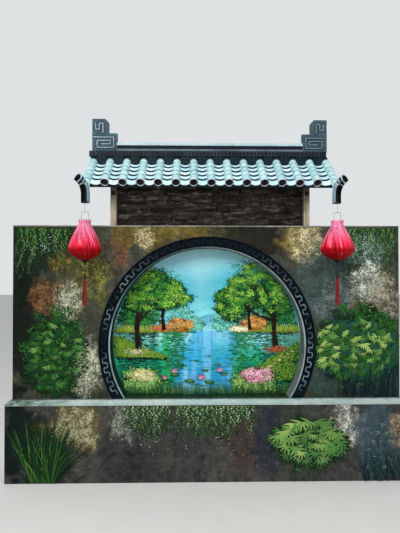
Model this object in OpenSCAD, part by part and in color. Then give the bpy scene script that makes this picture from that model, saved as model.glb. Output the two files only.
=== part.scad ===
// A garden wall with a round blind moon gate over a low bench wall, a short
// tiled roof on posts above it, and a silk lantern under each front corner.
// X runs along the wall, Y into it and Z up. The origin is on the ground,
// in the middle of the main wall. All sizes are in millimetres.

/* [Wall] */
// Length of the wall and of the bench in front of it
wall_len = 3480; // [3200:10:4200]
// Thickness of the main wall
wall_t = 300; // [280:5:360]
// Height of the main wall, with the screed on its top
wall_h = 2226; // [2200:1:2400]
// Thickness of the screed on the wall's top
screed_t = 12; // [8:1:30]
// Overhang of the screed and of the bench's coping past the plaster
lip = 5; // [2:1:12]

/* [Bench wall] */
// Depth of the bench in front of the wall
bench_d = 160; // [140:1:240]
// Height of the bench's top
bench_h = 676; // [560:1:700]
// Thickness of the cement coping on the bench
coping_t = 15; // [8:1:30]

/* [Moon gate] */
// Inner radius of the ring
ring_r = 885; // [800:5:900]
// Width of the ring's face
ring_w = 90; // [60:1:100]
// Height of the ring's centre
ring_z = 1150; // [1130:1:1180]
// How far the ring's field stands out from the wall
ring_field = 12; // [6:1:20]
// How much further its two borders stand out
ring_border = 6; // [2:1:10]
// Width of each border
ring_border_w = 12; // [6:1:20]
// Thickness of the lining of the round reveal
lining_t = 12; // [8:1:20]
// Depth of the niche from the wall's face to its back wall
niche_d = 150; // [100:5:200]
// Thickness of the painted plaster panel in the niche
mural_t = 20; // [10:1:30]

/* [Posts and infill] */
// How far the roof sits to the right of the moon gate's middle
roof_x = 29; // [0:1:80]
// Distance of each post's middle from the roof's middle
post_x = 886; // [800:1:950]
// Side of the square posts
post_w = 52; // [46:1:80]
// Thickness of the brick infill between the posts
infill_t = 100; // [80:1:120]
// Height of the infill over the wall's top
infill_h = 414; // [400:1:425]
// Width of the beams that tie the front posts to the back ones
tie_w = 36; // [30:1:42]
// Height of the tie beams
tie_h = 36; // [30:1:50]
// Height of the tie beams' underside over the wall's top
tie_rise = 283; // [220:1:300]
// How far the tie beams' ends stand out past the posts
tie_over = 5; // [2:1:10]

/* [Roof] */
// Slope of the tiles, in degrees
slope = 41.5; // [38:0.5:44]
// Spacing of the rows of barrel tiles
pitch = 154; // [148:1:170]
// Rows of barrel tiles on each side of the middle one
side_rows = 7; // [7:1:8]
// Courses of tiles from ridge to eave on the front slope
courses = 5; // [4:1:6]
// Courses on the back slope, whose eave stays out of sight under the front one
back_courses = 3; // [3:1:4]
// Distance of the front eave's tile ends from the wall's middle
eave_y = 310; // [300:1:330]
// Height of the barrel tiles' middle at the eave over the wall's top
eave_rise = 361; // [355:1:380]
// Outer radius of the barrel tiles
barrel_r = 36; // [32:1:38]
// Thickness of the tiles
tile_t = 7; // [5:1:8]
// How far the collar of each course stands out
collar = 2; // [1:0.5:3]
// Length of each collar
collar_l = 12; // [8:1:20]
// Depth of the barrels' straight skirts below their middle
skirt = 8; // [6:1:10]
// Depth of the pan tiles' trough below the barrels' middle
trough = 22; // [18:1:30]
// Thickness of the boarding under the tiles
deck_t = 12; // [10:1:18]
// Depth of the rafters
rafter_d = 30; // [25:1:36]
// Width of the rafters and of the purlins
rafter_w = 30; // [25:1:40]
// Thickness of the fascia and gable boards
board_t = 14; // [10:1:18]
// How far the fascia boards reach below the roof boards
fascia_drop = 20; // [8:1:30]
// Depth of the gable boards below the barrels' skirts
gable_d = 40; // [35:1:60]
// Width of the ridge beam
ridge_beam_w = 60; // [40:1:80]
// How far the roof boards run out past the rafters
rafter_in = 45; // [40:1:60]

/* [Ridge] */
// How far the patterned band sits to the left of the roof's middle
band_shift = 17; // [0:1:30]
// Half thickness of the ridge's saddle, which the barrels end at
saddle_y = 33; // [30:1:60]
// Height of the patterned band
band_h = 51; // [40:1:80]
// How far the band stands out past the saddle
band_out = 10; // [4:1:16]
// How far the band runs past the verge rows' middle
band_over = 25; // [10:1:30]
// Height of the thin moulding between the band and the web
fillet_h = 19; // [8:1:24]
// Half thickness of the ridge's web under its cap
web_y = 30; // [24:1:40]
// Height of the web
web_h = 34; // [25:1:45]
// Height of the cap
cap_h = 28; // [20:1:36]
// How far the cap stands out past the web
cap_out = 10; // [5:1:15]
// Width of the lower block of each end ornament
block_w = 232; // [200:1:280]
// Height of the lower block
block_h = 169; // [140:1:190]
// Width of the upper block
top_block_w = 153; // [120:1:180]
// Height of the upper block
top_block_h = 135; // [100:1:150]
// Half thickness of the ornaments
block_y = 20; // [16:1:32]
// Distance of the ornaments' outer sides from the roof's middle
block_end = 1098; // [1060:1:1100]

/* [Corner horns] */
// Outer radius of the half round horns
horn_r = 40; // [38:1:44]
// Length of a horn's upright part
horn_l = 75; // [60:1:100]
// Height of a horn's lower end over the wall's top
horn_rise = 171; // [160:1:180]
// Radius of the forward bend, to the horn's middle
horn_bend_r = 130; // [110:1:150]
// Angle of the bend, in degrees
horn_bend = 70; // [60:1:75]
// Turn of each horn towards its gable, in degrees
horn_turn = 34; // [20:1:45]
// Distance of the horns' backs from the eave's tile ends
horn_out = 12; // [10:1:20]

/* [Lanterns] */
// Length of the wire link, between its two pivots
link_l = 83; // [70:1:110]
// Radius of the link's wire
wire_r = 1.25; // [1:0.05:1.6]
// Length of the hook's bar past the link, and of its turned up tip
hook_tip = 8; // [6:1:12]
// Radius of the handle's wire
bail_r = 1.5; // [1.2:0.1:2]
// Width of the lantern's handle
bail_w = 58; // [50:1:66]
// Height from the handle's bar down to the lantern's top ring
bail_h = 89; // [80:1:100]
// Widest radius of the silk
belly_r = 140; // [120:1:150]
// Height of the silk
silk_h = 316; // [290:1:340]
// Thickness of the silk with its lining
silk_t = 1.5; // [1.2:0.1:2.5]
// Width of the wooden ring in the lantern's mouth
mouth_ring_w = 12; // [10:1:14]
// Ribs in each lantern
ribs = 8; // [6:1:12]
// Radius of the wooden finial
finial_r = 32; // [26:1:36]
// Length of the finial
finial_h = 50; // [40:1:60]
// Diameter of the tassel's cord
cord_d = 2; // [1.5:0.1:3]
// Length of the tassel's threads
tassel_l = 242; // [200:1:280]
// Radius of the tassel at its lower end
tassel_r = 20; // [14:1:24]

/* [Hidden] */
$fn = 72;

// Clearance of pieces that touch
gap = 0.3;
// Larger than anything that a cut has to pass through
far = 5000;
// How far a cut is drawn past the solid that it is taken from
over = 1;

// The wall's faces and the niche
face_y = wall_t / 2;
niche_back_y = -face_y + niche_d;
mural_y = niche_back_y - mural_t;
ring_out = ring_field + ring_border;
plaster_top = wall_h - screed_t;
// Where the wall over the arch is split from the walls beside it, as a share of the ring's radius
split_share = 0.72;
split_x = ring_r * split_share;
split_z = ring_z + sqrt(pow(ring_r, 2) - pow(split_x, 2));

// The roof's planes: z of the barrels' middle line at a distance y from the wall's middle
eave_z = wall_h + eave_rise;
function line_z(y) = eave_z + (eave_y - abs(y)) * tan(slope);
// z of a plane that lies n above that line, square to the slope
function plane_z(y, n) = line_z(y) + n / cos(slope);
slope_l = (eave_y - saddle_y) / cos(slope);
course_l = slope_l / courses;
back_l = course_l * back_courses;
// Distance of the tile ends from the wall's middle in front and behind
front_reach = eave_y;
back_reach = saddle_y + back_l * cos(slope);
// How far the rows of tiles are drawn up past the saddle, where they are cut off
run_up = barrel_r * 2;
rows = [-side_rows : side_rows];
inner_rows = [-side_rows + 1 : side_rows - 1];
verge_x = side_rows * pitch;
pan_out = trough + tile_t;
deck_n = -pan_out - gap;
rafter_n = deck_n - deck_t;
purlin_n = rafter_n - rafter_d;
deck_half = verge_x + barrel_r - board_t;
gable_n = -skirt - gap - gable_d;
// How far the tiles run out past the roof boards, so that the discs stay clear of the fascia
eave_out = (barrel_r + collar) * sin(slope) + gap + board_t;
tie_z = wall_h + tie_rise;
infill_top = wall_h + infill_h;
infill_x = post_x + post_w / 2;
post_y = infill_t / 2 + post_w / 2;
tie_end = post_y + post_w / 2 + tie_over;

// The ridge's levels
band_z = plane_z(saddle_y, barrel_r);
fillet_z = band_z + band_h;
web_z = fillet_z + fillet_h;
cap_z = web_z + web_h;
ridge_half = verge_x + band_over;
fillet_in = 3;
fillet_y = saddle_y + band_out - fillet_in;
filler_in = 2;
block_chamfer = 33;

// The horns and what hangs from them
horn_y = eave_y + horn_out + gap + horn_r;
horn_z = wall_h + horn_rise;
// How far the horns' sides reach past the half round
horn_lead = 12;
// Collars at a horn's tip, and the angle that each takes up
horn_rims = 2;
horn_rim_a = 7;
// How far the last collar runs on past the horn's end, in degrees
horn_rim_over = 1;
// The hook's bar, over a horn's lower end and in front of its middle
hook_rise = 3;
hook_out = 2;
hook_r = 1.5;
pivot_z = horn_z + hook_rise;
hang_y = horn_y + hook_out;
bail_z = pivot_z - link_l;
top_ring_z = bail_z - bail_h;
silk_z = top_ring_z - silk_h;
finial_z = silk_z - finial_h;
mouth_r = belly_r * 0.3;
foot_r = belly_r * 0.29;
rib_w = 3;
rib_d = 4;
plate_t = 6;
// The cord from the finial to the tassel, as distances below the finial's tip
cord_route = [0, 5, 10, 15, 20, 25, 30, 35, 40, 45, 50, 55, 60, 65, 70, 75];
cord_sides = 8;
cord_l = cord_route[len(cord_route) - 1];
bead_h = 22;
neck_h = 40;
tassel_z = finial_z - cord_l - bead_h - tassel_l;

// Outline of the silk from its mouth to its foot: share of the belly's radius, share of the height
silk_shape = [
    [0.34, 1], [0.40, 0.91], [0.53, 0.81], [0.76, 0.61], [0.93, 0.42],
    [1, 0.30], [0.945, 0.21], [0.79, 0.125], [0.54, 0.055], [0.33, 0]
];
function silk_points(inset) = [
    for (p = silk_shape) [p[0] * belly_r - inset, silk_z + p[1] * silk_h]
];

// Outlines of the finial and of the bead on the tassel, as shares of radius and height in the same way
finial_shape = [
    [0, 1], [1, 1], [0.87, 0.84], [0.5, 0.6], [0.22, 0.36], [0.125, 0.08], [0.09, 0], [0, 0]
];
bead_shape = [[0, 1], [0.25, 0.95], [0.3, 0.73], [0.2, 0.55], [0.3, 0.45], [0.4, 0.18], [0.35, 0]];

// Small building blocks

module block(x0, x1, y0, y1, z0, z1) {
    translate([x0, y0, z0]) cube([x1 - x0, y1 - y0, z1 - z0]);
}

module disc_y(r, y0, y1) {
    translate([0, y1, ring_z]) rotate([90, 0, 0]) cylinder(r = r, h = y1 - y0, $fn = 180);
}

// A profile given as y and z, drawn out along X
module along_x(x0, x1) {
    translate([x0, 0, 0]) rotate([90, 0, 90]) linear_extrude(x1 - x0) children();
}

// A profile given as x and z, drawn out along Y
module along_y(y0, y1) {
    translate([0, y1, 0]) rotate([90, 0, 0]) linear_extrude(y1 - y0) children();
}

// What stands on the wall is drawn round the roof's own middle
module on_roof() {
    translate([roof_x, 0, 0]) children();
}

module both_ends() {
    children();
    mirror([1, 0, 0]) children();
}

module both_faces() {
    children();
    mirror([0, 1, 0]) children();
}

// Local z runs down the front slope from the saddle, local y stands square to the tiles
module on_slope() {
    translate([0, -saddle_y, line_z(saddle_y)]) rotate([90 + slope, 0, 0]) children();
}

// Masonry

module wall_base() {
    color("#3d3d38") block(-wall_len / 2, wall_len / 2, -face_y, face_y, 0, bench_h);
}

module back_wall() {
    color("#4a473f")
        block(-wall_len / 2, wall_len / 2, niche_back_y, face_y, bench_h, plaster_top);
}

module front_wall_side() {
    color("#45453c") difference() {
        block(-wall_len / 2, -split_x, -face_y, niche_back_y, bench_h, plaster_top);
        disc_y(ring_r, -face_y - over, niche_back_y + over);
    }
}

module front_wall_left() {
    front_wall_side();
}

module front_wall_right() {
    mirror([1, 0, 0]) front_wall_side();
}

module front_wall_top() {
    color("#5a4c2c") difference() {
        block(-split_x, split_x, -face_y, niche_back_y, split_z, plaster_top - gap);
        disc_y(ring_r, -face_y - over, niche_back_y + over);
    }
}

module wall_screed() {
    color("#b9b5a0")
        block(-wall_len / 2, wall_len / 2, -face_y - lip, face_y + lip, plaster_top, wall_h);
}

module bench_wall() {
    color("#35332f")
        block(-wall_len / 2, wall_len / 2, -face_y - bench_d, -face_y, 0, bench_h - coping_t);
}

module bench_coping() {
    color("#c3cdc6")
        block(-wall_len / 2, wall_len / 2, -face_y - bench_d - lip, -face_y,
              bench_h - coping_t, bench_h);
}

// The moon gate

module moon_ring() {
    inner = ring_r;
    outer = ring_r + ring_w;
    color("#101c2c") difference() {
        translate([0, -face_y, ring_z]) rotate([90, 0, 0]) rotate_extrude($fn = 180)
            polygon([
                [inner, 0], [outer, 0], [outer, ring_out], [outer - ring_border_w, ring_out],
                [outer - ring_border_w, ring_field], [inner + ring_border_w, ring_field],
                [inner + ring_border_w, ring_out], [inner, ring_out]
            ]);
        block(-far, far, -far, far, -far, bench_h);
    }
}

module reveal_lining() {
    color("#8b8680") difference() {
        disc_y(ring_r, -face_y - ring_out, mural_y);
        disc_y(ring_r - lining_t, -face_y - ring_out - over, mural_y + over);
        block(-far, far, -far, far, -far, bench_h);
    }
}

module mural_panel() {
    color("#2f9fb0") difference() {
        disc_y(ring_r, mural_y, niche_back_y);
        block(-far, far, -far, far, -far, bench_h);
    }
}

// Posts, infill and roof timber

module tie_beam(grow = 0) {
    block(post_x - tie_w / 2 - grow, post_x + tie_w / 2 + grow, -tie_end, tie_end,
          tie_z - grow, tie_z + tie_h + grow);
}

module posts() {
    color("#a89272") on_roof() difference() {
        both_faces() both_ends()
            block(post_x - post_w / 2, post_x + post_w / 2, -post_y - post_w / 2,
                  -post_y + post_w / 2, wall_h, infill_top);
        both_ends() tie_beam(gap);
    }
}

module brick_infill() {
    color("#2b2320") on_roof() difference() {
        block(-infill_x, infill_x, -infill_t / 2, infill_t / 2, wall_h, infill_top);
        both_ends() tie_beam(gap);
    }
}

module tie_beams() {
    color("#3a2f22") on_roof() both_ends() tie_beam();
}

// A board on each slope between two planes, n0 and n1 over the tiles' middle line.
// It ends at a distance short from the ends of the tiles.
module pitched(n0, n1, short) {
    y0 = gap / 2;
    for (end = [-front_reach + short, back_reach - short])
        let (side = sign(end)) polygon([
            [end, plane_z(end, n0)], [side * y0, plane_z(y0, n0)],
            [side * y0, plane_z(y0, n1)], [end, plane_z(end, n1)]
        ]);
}

// The purlins lie on the posts
module eave_purlins() {
    y0 = post_y - rafter_w / 2;
    y1 = post_y + rafter_w / 2;
    color("#5b4a34") on_roof() both_faces() along_x(-deck_half, deck_half)
        polygon([
            [-y1, infill_top], [-y0, infill_top],
            [-y0, plane_z(y0, purlin_n - gap)], [-y1, plane_z(y1, purlin_n - gap)]
        ]);
}

module ridge_beam() {
    half = ridge_beam_w / 2;
    color("#5b4a34") on_roof() along_x(-deck_half, deck_half)
        polygon([
            [-half, infill_top], [half, infill_top], [half, plane_z(half, purlin_n - gap)],
            [0, plane_z(0, purlin_n - gap)], [-half, plane_z(half, purlin_n - gap)]
        ]);
}

module rafters() {
    spaces = 6;
    reach = deck_half - rafter_w;
    color("#6a5740") on_roof() for (i = [0 : spaces])
        translate([-reach + i * 2 * reach / spaces, 0, 0])
            along_x(-rafter_w / 2, rafter_w / 2)
                pitched(purlin_n, rafter_n - gap, eave_out + rafter_in);
}

module roof_boards() {
    color("#2f3333") on_roof() along_x(-deck_half, deck_half)
        pitched(rafter_n, deck_n, eave_out);
}

// A board along the ends of the roof boards, at a distance y0 from the wall's middle
module fascia(y0) {
    y1 = y0 + board_t;
    low = plane_z(y0, rafter_n) - fascia_drop;
    along_x(-deck_half, deck_half)
        polygon([[y1, low], [y0, low], [y0, plane_z(y0, deck_n)], [y1, plane_z(y1, deck_n)]]);
}

module fascia_boards() {
    color("#16282b") on_roof() {
        mirror([0, 1, 0]) fascia(front_reach - eave_out);
        fascia(back_reach - eave_out);
    }
}

module gable_boards() {
    color("#23383b") on_roof() both_ends() along_x(deck_half, deck_half + board_t)
        pitched(gable_n, -skirt - gap, eave_out - board_t);
}

// Tiles

// The hollow half round of a barrel tile, in x and height over the middle line
module barrel_section(out = 0) {
    difference() {
        union() {
            circle(r = barrel_r + out);
            translate([-barrel_r - out, -skirt]) square([2 * (barrel_r + out), skirt]);
        }
        circle(r = barrel_r - tile_t);
        translate([-barrel_r + tile_t, -far]) square([2 * (barrel_r - tile_t), far]);
        translate([-far, -far - skirt]) square([2 * far, far]);
    }
}

// Radius of the pan's upper face, through the trough's bottom and the barrel's skirt
pan_half = pitch / 2 - barrel_r + tile_t;
pan_sag = trough - skirt - gap;
pan_r = (pow(pan_half, 2) + pow(pan_sag, 2)) / (2 * pan_sag);
pan_edge = pitch / 2 - tile_t;

module pan_section(out = 0) {
    intersection() {
        translate([0, pan_r - trough]) difference() {
            circle(r = pan_r + tile_t, $fn = 180);
            circle(r = pan_r - out, $fn = 180);
        }
        translate([-pan_edge, -far]) square([2 * pan_edge, far - gap]);
    }
}

// A pan between two barrels has a lip at each course, which stays clear of the barrels
module pan_lip() {
    intersection() {
        pan_section(collar);
        translate([-pitch / 2 + barrel_r + collar + gap, -far])
            square([pitch - 2 * (barrel_r + collar + gap), far]);
    }
}

module pan_tiles(length, count) {
    color("#a9c9cf") on_roof() difference() {
        for (i = [-side_rows : side_rows - 1]) translate([(i + 0.5) * pitch, 0, 0]) on_slope() {
            translate([0, 0, -run_up]) linear_extrude(length + run_up) pan_section();
            for (c = [1 : count])
                translate([0, 0, c * course_l - collar_l]) linear_extrude(collar_l) pan_lip();
        }
        block(-far, far, -saddle_y - gap, far, 0, far);
    }
}

module barrel_row(length, count) {
    translate([0, 0, -run_up]) linear_extrude(length + run_up) barrel_section();
    for (c = [1 : count])
        translate([0, 0, c * course_l - collar_l]) linear_extrude(collar_l) barrel_section(collar);
}

module barrel_rows(places, length, count) {
    color("#b4d8dc") on_roof() difference() {
        for (i = places) translate([i * pitch, 0, 0]) on_slope() barrel_row(length, count);
        block(-far, far, -saddle_y - gap, far, 0, far);
    }
}

module front_pan_tiles() {
    pan_tiles(slope_l, courses);
}

module back_pan_tiles() {
    mirror([0, 1, 0]) pan_tiles(back_l, back_courses);
}

// The verge rows run on to the backs of the horns
module front_barrel_tiles() {
    barrel_rows(inner_rows, slope_l, courses);
    difference() {
        barrel_rows([-side_rows, side_rows], slope_l + run_up, courses);
        block(-far, far, -far, -horn_y, 0, far);
        on_roof() both_ends() horn_core();
    }
}

module back_barrel_tiles() {
    mirror([0, 1, 0]) barrel_rows(rows, back_l, back_courses);
}

// The round plates that close the barrels at the eave, with a raised rim
module discs(places, length) {
    rim = 6;
    rim_h = 5;
    for (i = places)
        translate([i * pitch, 0, 0]) on_slope() translate([0, 0, length]) difference() {
            cylinder(r = barrel_r + collar, h = tile_t + rim_h);
            translate([0, 0, tile_t]) cylinder(r = barrel_r + collar - rim, h = rim_h + over);
        }
}

module eave_discs() {
    color("#33474d") on_roof() {
        discs(inner_rows, slope_l);
        mirror([0, 1, 0]) discs(rows, back_l);
    }
}

// The upright pieces that close each pan under the ridge, seated on the pan
module ridge_fillers() {
    half = pitch / 2 - barrel_r - collar - gap;
    front = saddle_y + band_out - filler_in;
    color("#1c3338") on_roof() both_faces() for (i = [-side_rows : side_rows - 1])
        translate([(i + 0.5) * pitch, 0, 0]) intersection() {
            block(-half, half, -front, -saddle_y - gap, wall_h, band_z - gap);
            on_slope() translate([0, pan_r - trough, -run_up]) cylinder(r = pan_r - gap, h = 2 * run_up);
        }
}

// Ridge

module ridge_saddle() {
    half = deck_half - gap;
    color("#24353a") on_roof() along_x(-half, half)
        polygon([
            [-saddle_y, plane_z(saddle_y, deck_n + gap)], [0, plane_z(0, deck_n + gap)],
            [saddle_y, plane_z(saddle_y, deck_n + gap)], [saddle_y, band_z], [-saddle_y, band_z]
        ]);
}

module ridge_band() {
    y0 = saddle_y + band_out;
    color("#20262f") translate([roof_x - band_shift, 0, 0])
        block(-ridge_half, ridge_half, -y0, y0, band_z, fillet_z);
}

module ridge_cap() {
    x0 = block_end - block_w - gap;
    y1 = web_y + cap_out;
    color("#9fb0b4") on_roof() along_x(-x0, x0) union() {
        translate([-fillet_y, fillet_z]) square([2 * fillet_y, fillet_h]);
        translate([-web_y, fillet_z]) square([2 * web_y, fillet_h + web_h]);
        polygon([
            [-y1, cap_z], [y1, cap_z], [y1, cap_z + cap_h / 2], [web_y, cap_z + cap_h],
            [-web_y, cap_z + cap_h], [-y1, cap_z + cap_h / 2]
        ]);
    }
}

// Two stacked blocks, the upper one with its inner top corner cut off
module ridge_ornaments() {
    mid = fillet_z + block_h;
    top = mid + top_block_h;
    inner = block_end - block_w;
    top_inner = block_end - top_block_w;
    color("#4b626b") on_roof() both_ends() along_y(-block_y, block_y) polygon([
        [inner, fillet_z], [block_end, fillet_z], [block_end, top],
        [top_inner + block_chamfer, top], [top_inner, top - block_chamfer], [top_inner, mid],
        [inner, mid]
    ]);
}

// Horns and lanterns

module horn_place() {
    translate([verge_x, -horn_y, horn_z]) rotate([0, 0, horn_turn]) children();
}

// Bends a section forward from the top of a horn's upright part
module horn_bent(start, angle) {
    translate([0, -horn_bend_r, horn_l]) rotate([90, 0, 90]) rotate([0, 0, start])
        rotate_extrude(angle = angle) translate([horn_bend_r, 0]) rotate(-90) children();
}

// The space that a horn takes up, which the tiles behind it are cut round
module horn_core() {
    horn_place() {
        cylinder(r = horn_r + gap, h = horn_l);
        horn_bent(0, horn_bend) circle(r = horn_r + gap);
    }
}

// Half a pipe, open to the front, with thick added on both faces
module horn_section(thick = 0) {
    intersection() {
        difference() {
            circle(r = horn_r + thick);
            circle(r = horn_r - tile_t - thick);
        }
        translate([-far / 2, -horn_lead]) square([far, far]);
    }
}

module horn() {
    horn_place() {
        linear_extrude(horn_l) horn_section();
        horn_bent(0, horn_bend) horn_section();
        for (k = [1 : horn_rims])
            horn_bent(horn_bend + horn_rim_over - (2 * k - 1) * horn_rim_a, horn_rim_a)
                horn_section(collar);
    }
}

module corner_horns() {
    color("#3f5a66") on_roof() both_ends() horn();
}

// A wire hook in each front horn, whose bar carries the link and ends in a turned up tip
module lantern_hooks() {
    back = horn_y - horn_r + tile_t + gap;
    front = hang_y + hook_tip;
    color("#55575a") on_roof() both_ends() translate([verge_x, 0, pivot_z]) {
        translate([0, -back, 0]) rotate([90, 0, 0]) cylinder(r = hook_r, h = front - back, $fn = 24);
        translate([0, -front, 0]) {
            sphere(r = hook_r, $fn = 24);
            cylinder(r = hook_r, h = hook_tip, $fn = 24);
        }
    }
}

module wire_ring(grip) {
    rotate_extrude($fn = 48) translate([grip + gap + wire_r, 0]) circle(r = wire_r, $fn = 24);
}

module lantern_place(side) {
    translate([roof_x + side * verge_x, -hang_y, 0]) children();
}

module link(side) {
    top = hook_r + gap + wire_r;
    low = bail_r + gap + wire_r;
    color("#55575a") lantern_place(side) {
        translate([0, 0, pivot_z]) rotate([90, 0, 0]) wire_ring(hook_r);
        translate([0, 0, bail_z]) rotate([0, 90, 0]) wire_ring(bail_r);
        translate([0, 0, bail_z + low]) cylinder(r = wire_r, h = link_l - top - low, $fn = 24);
    }
}

// The wooden ring in the lantern's mouth, the plate in its foot and the wire handle
module lantern_frame(side) {
    color("#8c7a55") lantern_place(side) {
        translate([0, 0, top_ring_z - plate_t]) difference() {
            cylinder(r = mouth_r, h = plate_t);
            translate([0, 0, -over]) cylinder(r = mouth_r - mouth_ring_w, h = plate_t + 2 * over);
        }
        translate([0, 0, silk_z]) cylinder(r = foot_r, h = plate_t);
        for (s = [-1, 1]) translate([s * bail_w / 2, 0, top_ring_z - plate_t])
            cylinder(r = bail_r, h = bail_h + plate_t, $fn = 24);
        for (s = [-1, 1]) translate([s * bail_w / 2, 0, bail_z]) sphere(r = bail_r, $fn = 24);
        translate([-bail_w / 2, 0, bail_z]) rotate([0, 90, 0])
            cylinder(r = bail_r, h = bail_w, $fn = 24);
    }
}

// The bamboo ribs inside the silk, from the ring to the plate
module lantern_ribs(side) {
    inner = silk_points(silk_t + gap);
    color("#a08d5f") lantern_place(side) difference() {
        for (i = [0 : ribs - 1]) rotate([0, 0, 360 / ribs * (i + 0.5)])
            rotate([90, 0, 0]) translate([0, 0, -rib_w / 2]) linear_extrude(rib_w)
                polygon(concat(inner, [
                    for (k = [len(inner) - 1 : -1 : 0]) inner[k] - [rib_d, 0]
                ]));
        translate([0, 0, top_ring_z - plate_t - gap]) cylinder(r = mouth_r + gap, h = plate_t + 2 * gap);
        translate([0, 0, silk_z - gap]) cylinder(r = foot_r + gap, h = plate_t + 2 * gap);
    }
}

module lantern_silk(side) {
    outer = silk_points(0);
    inner = silk_points(silk_t);
    color("#c8102e") lantern_place(side) rotate_extrude($fn = 96)
        polygon(concat(outer, [for (k = [len(inner) - 1 : -1 : 0]) inner[k]]));
}

module lantern_finial(side) {
    color("#1b1414") lantern_place(side) rotate_extrude() polygon([
        for (p = finial_shape) [p[0] * finial_r, finial_z + p[1] * (finial_h - gap)]
    ]);
}

// A tube of flat sided rings along the route
module tassel_cord(side) {
    rings = len(cord_route);
    points = [
        for (d = cord_route) for (k = [0 : cord_sides - 1])
            [cord_d / 2 * cos(360 / cord_sides * k), cord_d / 2 * sin(360 / cord_sides * k),
             finial_z - d]
    ];
    walls = [
        for (i = [0 : rings - 2]) for (k = [0 : cord_sides - 1])
            let (n = (k + 1) % cord_sides, a = i * cord_sides, b = a + cord_sides)
            [a + k, a + n, b + n, b + k]
    ];
    top = [for (k = [cord_sides - 1 : -1 : 0]) k];
    low = [for (k = [0 : cord_sides - 1]) (rings - 1) * cord_sides + k];
    color("#7d1020") lantern_place(side)
        polyhedron(points = points, faces = concat(walls, [top, low]));
}

module tassel(side) {
    head = finial_z - cord_l;
    neck_r = tassel_r * 0.7;
    color("#a3142a") lantern_place(side) rotate_extrude() polygon(concat(
        [for (p = bead_shape) [p[0] * tassel_r, head - bead_h + p[1] * bead_h]],
        [[neck_r, head - bead_h - neck_h], [tassel_r, tassel_z], [0, tassel_z]]
    ));
}

module left_link() { link(-1); }
module left_frame() { lantern_frame(-1); }
module left_ribs() { lantern_ribs(-1); }
module left_silk() { lantern_silk(-1); }
module left_finial() { lantern_finial(-1); }
module left_tassel_cord() { tassel_cord(-1); }
module left_tassel() { tassel(-1); }
module right_link() { link(1); }
module right_frame() { lantern_frame(1); }
module right_ribs() { lantern_ribs(1); }
module right_silk() { lantern_silk(1); }
module right_finial() { lantern_finial(1); }
module right_tassel_cord() { tassel_cord(1); }
module right_tassel() { tassel(1); }

wall_base();
back_wall();
front_wall_left();
front_wall_right();
front_wall_top();
wall_screed();
bench_wall();
bench_coping();
moon_ring();
reveal_lining();
mural_panel();
posts();
brick_infill();
tie_beams();
eave_purlins();
ridge_beam();
rafters();
roof_boards();
fascia_boards();
gable_boards();
front_pan_tiles();
back_pan_tiles();
front_barrel_tiles();
back_barrel_tiles();
eave_discs();
ridge_fillers();
ridge_saddle();
ridge_band();
ridge_cap();
ridge_ornaments();
corner_horns();
lantern_hooks();
left_link();
left_frame();
left_ribs();
left_silk();
left_finial();
left_tassel_cord();
left_tassel();
right_link();
right_frame();
right_ribs();
right_silk();
right_finial();
right_tassel_cord();
right_tassel();
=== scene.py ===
"""Dresses the moon gate wall with its tiles, ornament, painted plaster, mural and lanterns."""

import math

import bpy
import numpy as np
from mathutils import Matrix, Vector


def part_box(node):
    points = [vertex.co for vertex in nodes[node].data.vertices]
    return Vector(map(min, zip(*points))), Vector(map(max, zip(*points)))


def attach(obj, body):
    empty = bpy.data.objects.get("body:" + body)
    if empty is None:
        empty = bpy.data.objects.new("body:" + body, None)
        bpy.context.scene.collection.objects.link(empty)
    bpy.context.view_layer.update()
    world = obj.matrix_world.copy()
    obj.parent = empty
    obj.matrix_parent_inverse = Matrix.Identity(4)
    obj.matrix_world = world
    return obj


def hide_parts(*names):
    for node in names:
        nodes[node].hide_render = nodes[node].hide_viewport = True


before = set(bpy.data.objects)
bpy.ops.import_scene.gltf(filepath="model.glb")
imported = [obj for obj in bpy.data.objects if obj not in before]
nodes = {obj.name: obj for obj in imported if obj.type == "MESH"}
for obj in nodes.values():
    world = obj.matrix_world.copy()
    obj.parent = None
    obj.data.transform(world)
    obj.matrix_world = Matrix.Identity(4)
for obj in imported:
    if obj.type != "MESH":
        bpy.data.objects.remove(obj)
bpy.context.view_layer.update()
scene = bpy.context.scene

# Camera

# Focal length in pixels of the photo, its height in pixels, and the camera's sensor in millimetres
PHOTO_FOCAL = 430
PHOTO_HEIGHT = 533
SENSOR = 36
EYE = (-0.140, -4.027, 1.810)
LOOK_UP = 0.69
LOOK_RIGHT = 1.07


def place_camera():
    lens = bpy.data.cameras.new("camera")
    lens.lens = PHOTO_FOCAL / PHOTO_HEIGHT * SENSOR
    camera = bpy.data.objects.new("camera", lens)
    camera.location = EYE
    camera.rotation_euler = (math.radians(90 + LOOK_UP), 0, math.radians(-LOOK_RIGHT))
    scene.collection.objects.link(camera)
    scene.camera = camera


place_camera()

# Sizes, in metres, from the CAD's parts and from the driving dimensions of the CAD

SIDES = ("left", "right")
WALL_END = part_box("back_wall")[1][0]
SCREED_LOW, SCREED_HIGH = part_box("wall_screed")
COPING_LOW, COPING_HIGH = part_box("bench_coping")
RING_LOW, RING_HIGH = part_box("moon_ring")
LINING_LOW, LINING_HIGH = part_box("reveal_lining")
FACE_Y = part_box("front_wall_left")[0][1]
BENCH_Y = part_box("bench_wall")[0][1]
COPING_TOP = COPING_HIGH[2]
WALL_TOP = SCREED_HIGH[2]
RING_OUTER = (RING_HIGH[0] - RING_LOW[0]) / 2
RING_INNER = (LINING_HIGH[0] - LINING_LOW[0]) / 2
RING_Z = RING_HIGH[2] - RING_OUTER
MURAL_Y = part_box("mural_panel")[0][1]
LINING_T = 0.012
MURAL_R = RING_INNER - LINING_T
RING_FIELD = 0.012
RING_BORDER_W = 0.012

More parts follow.
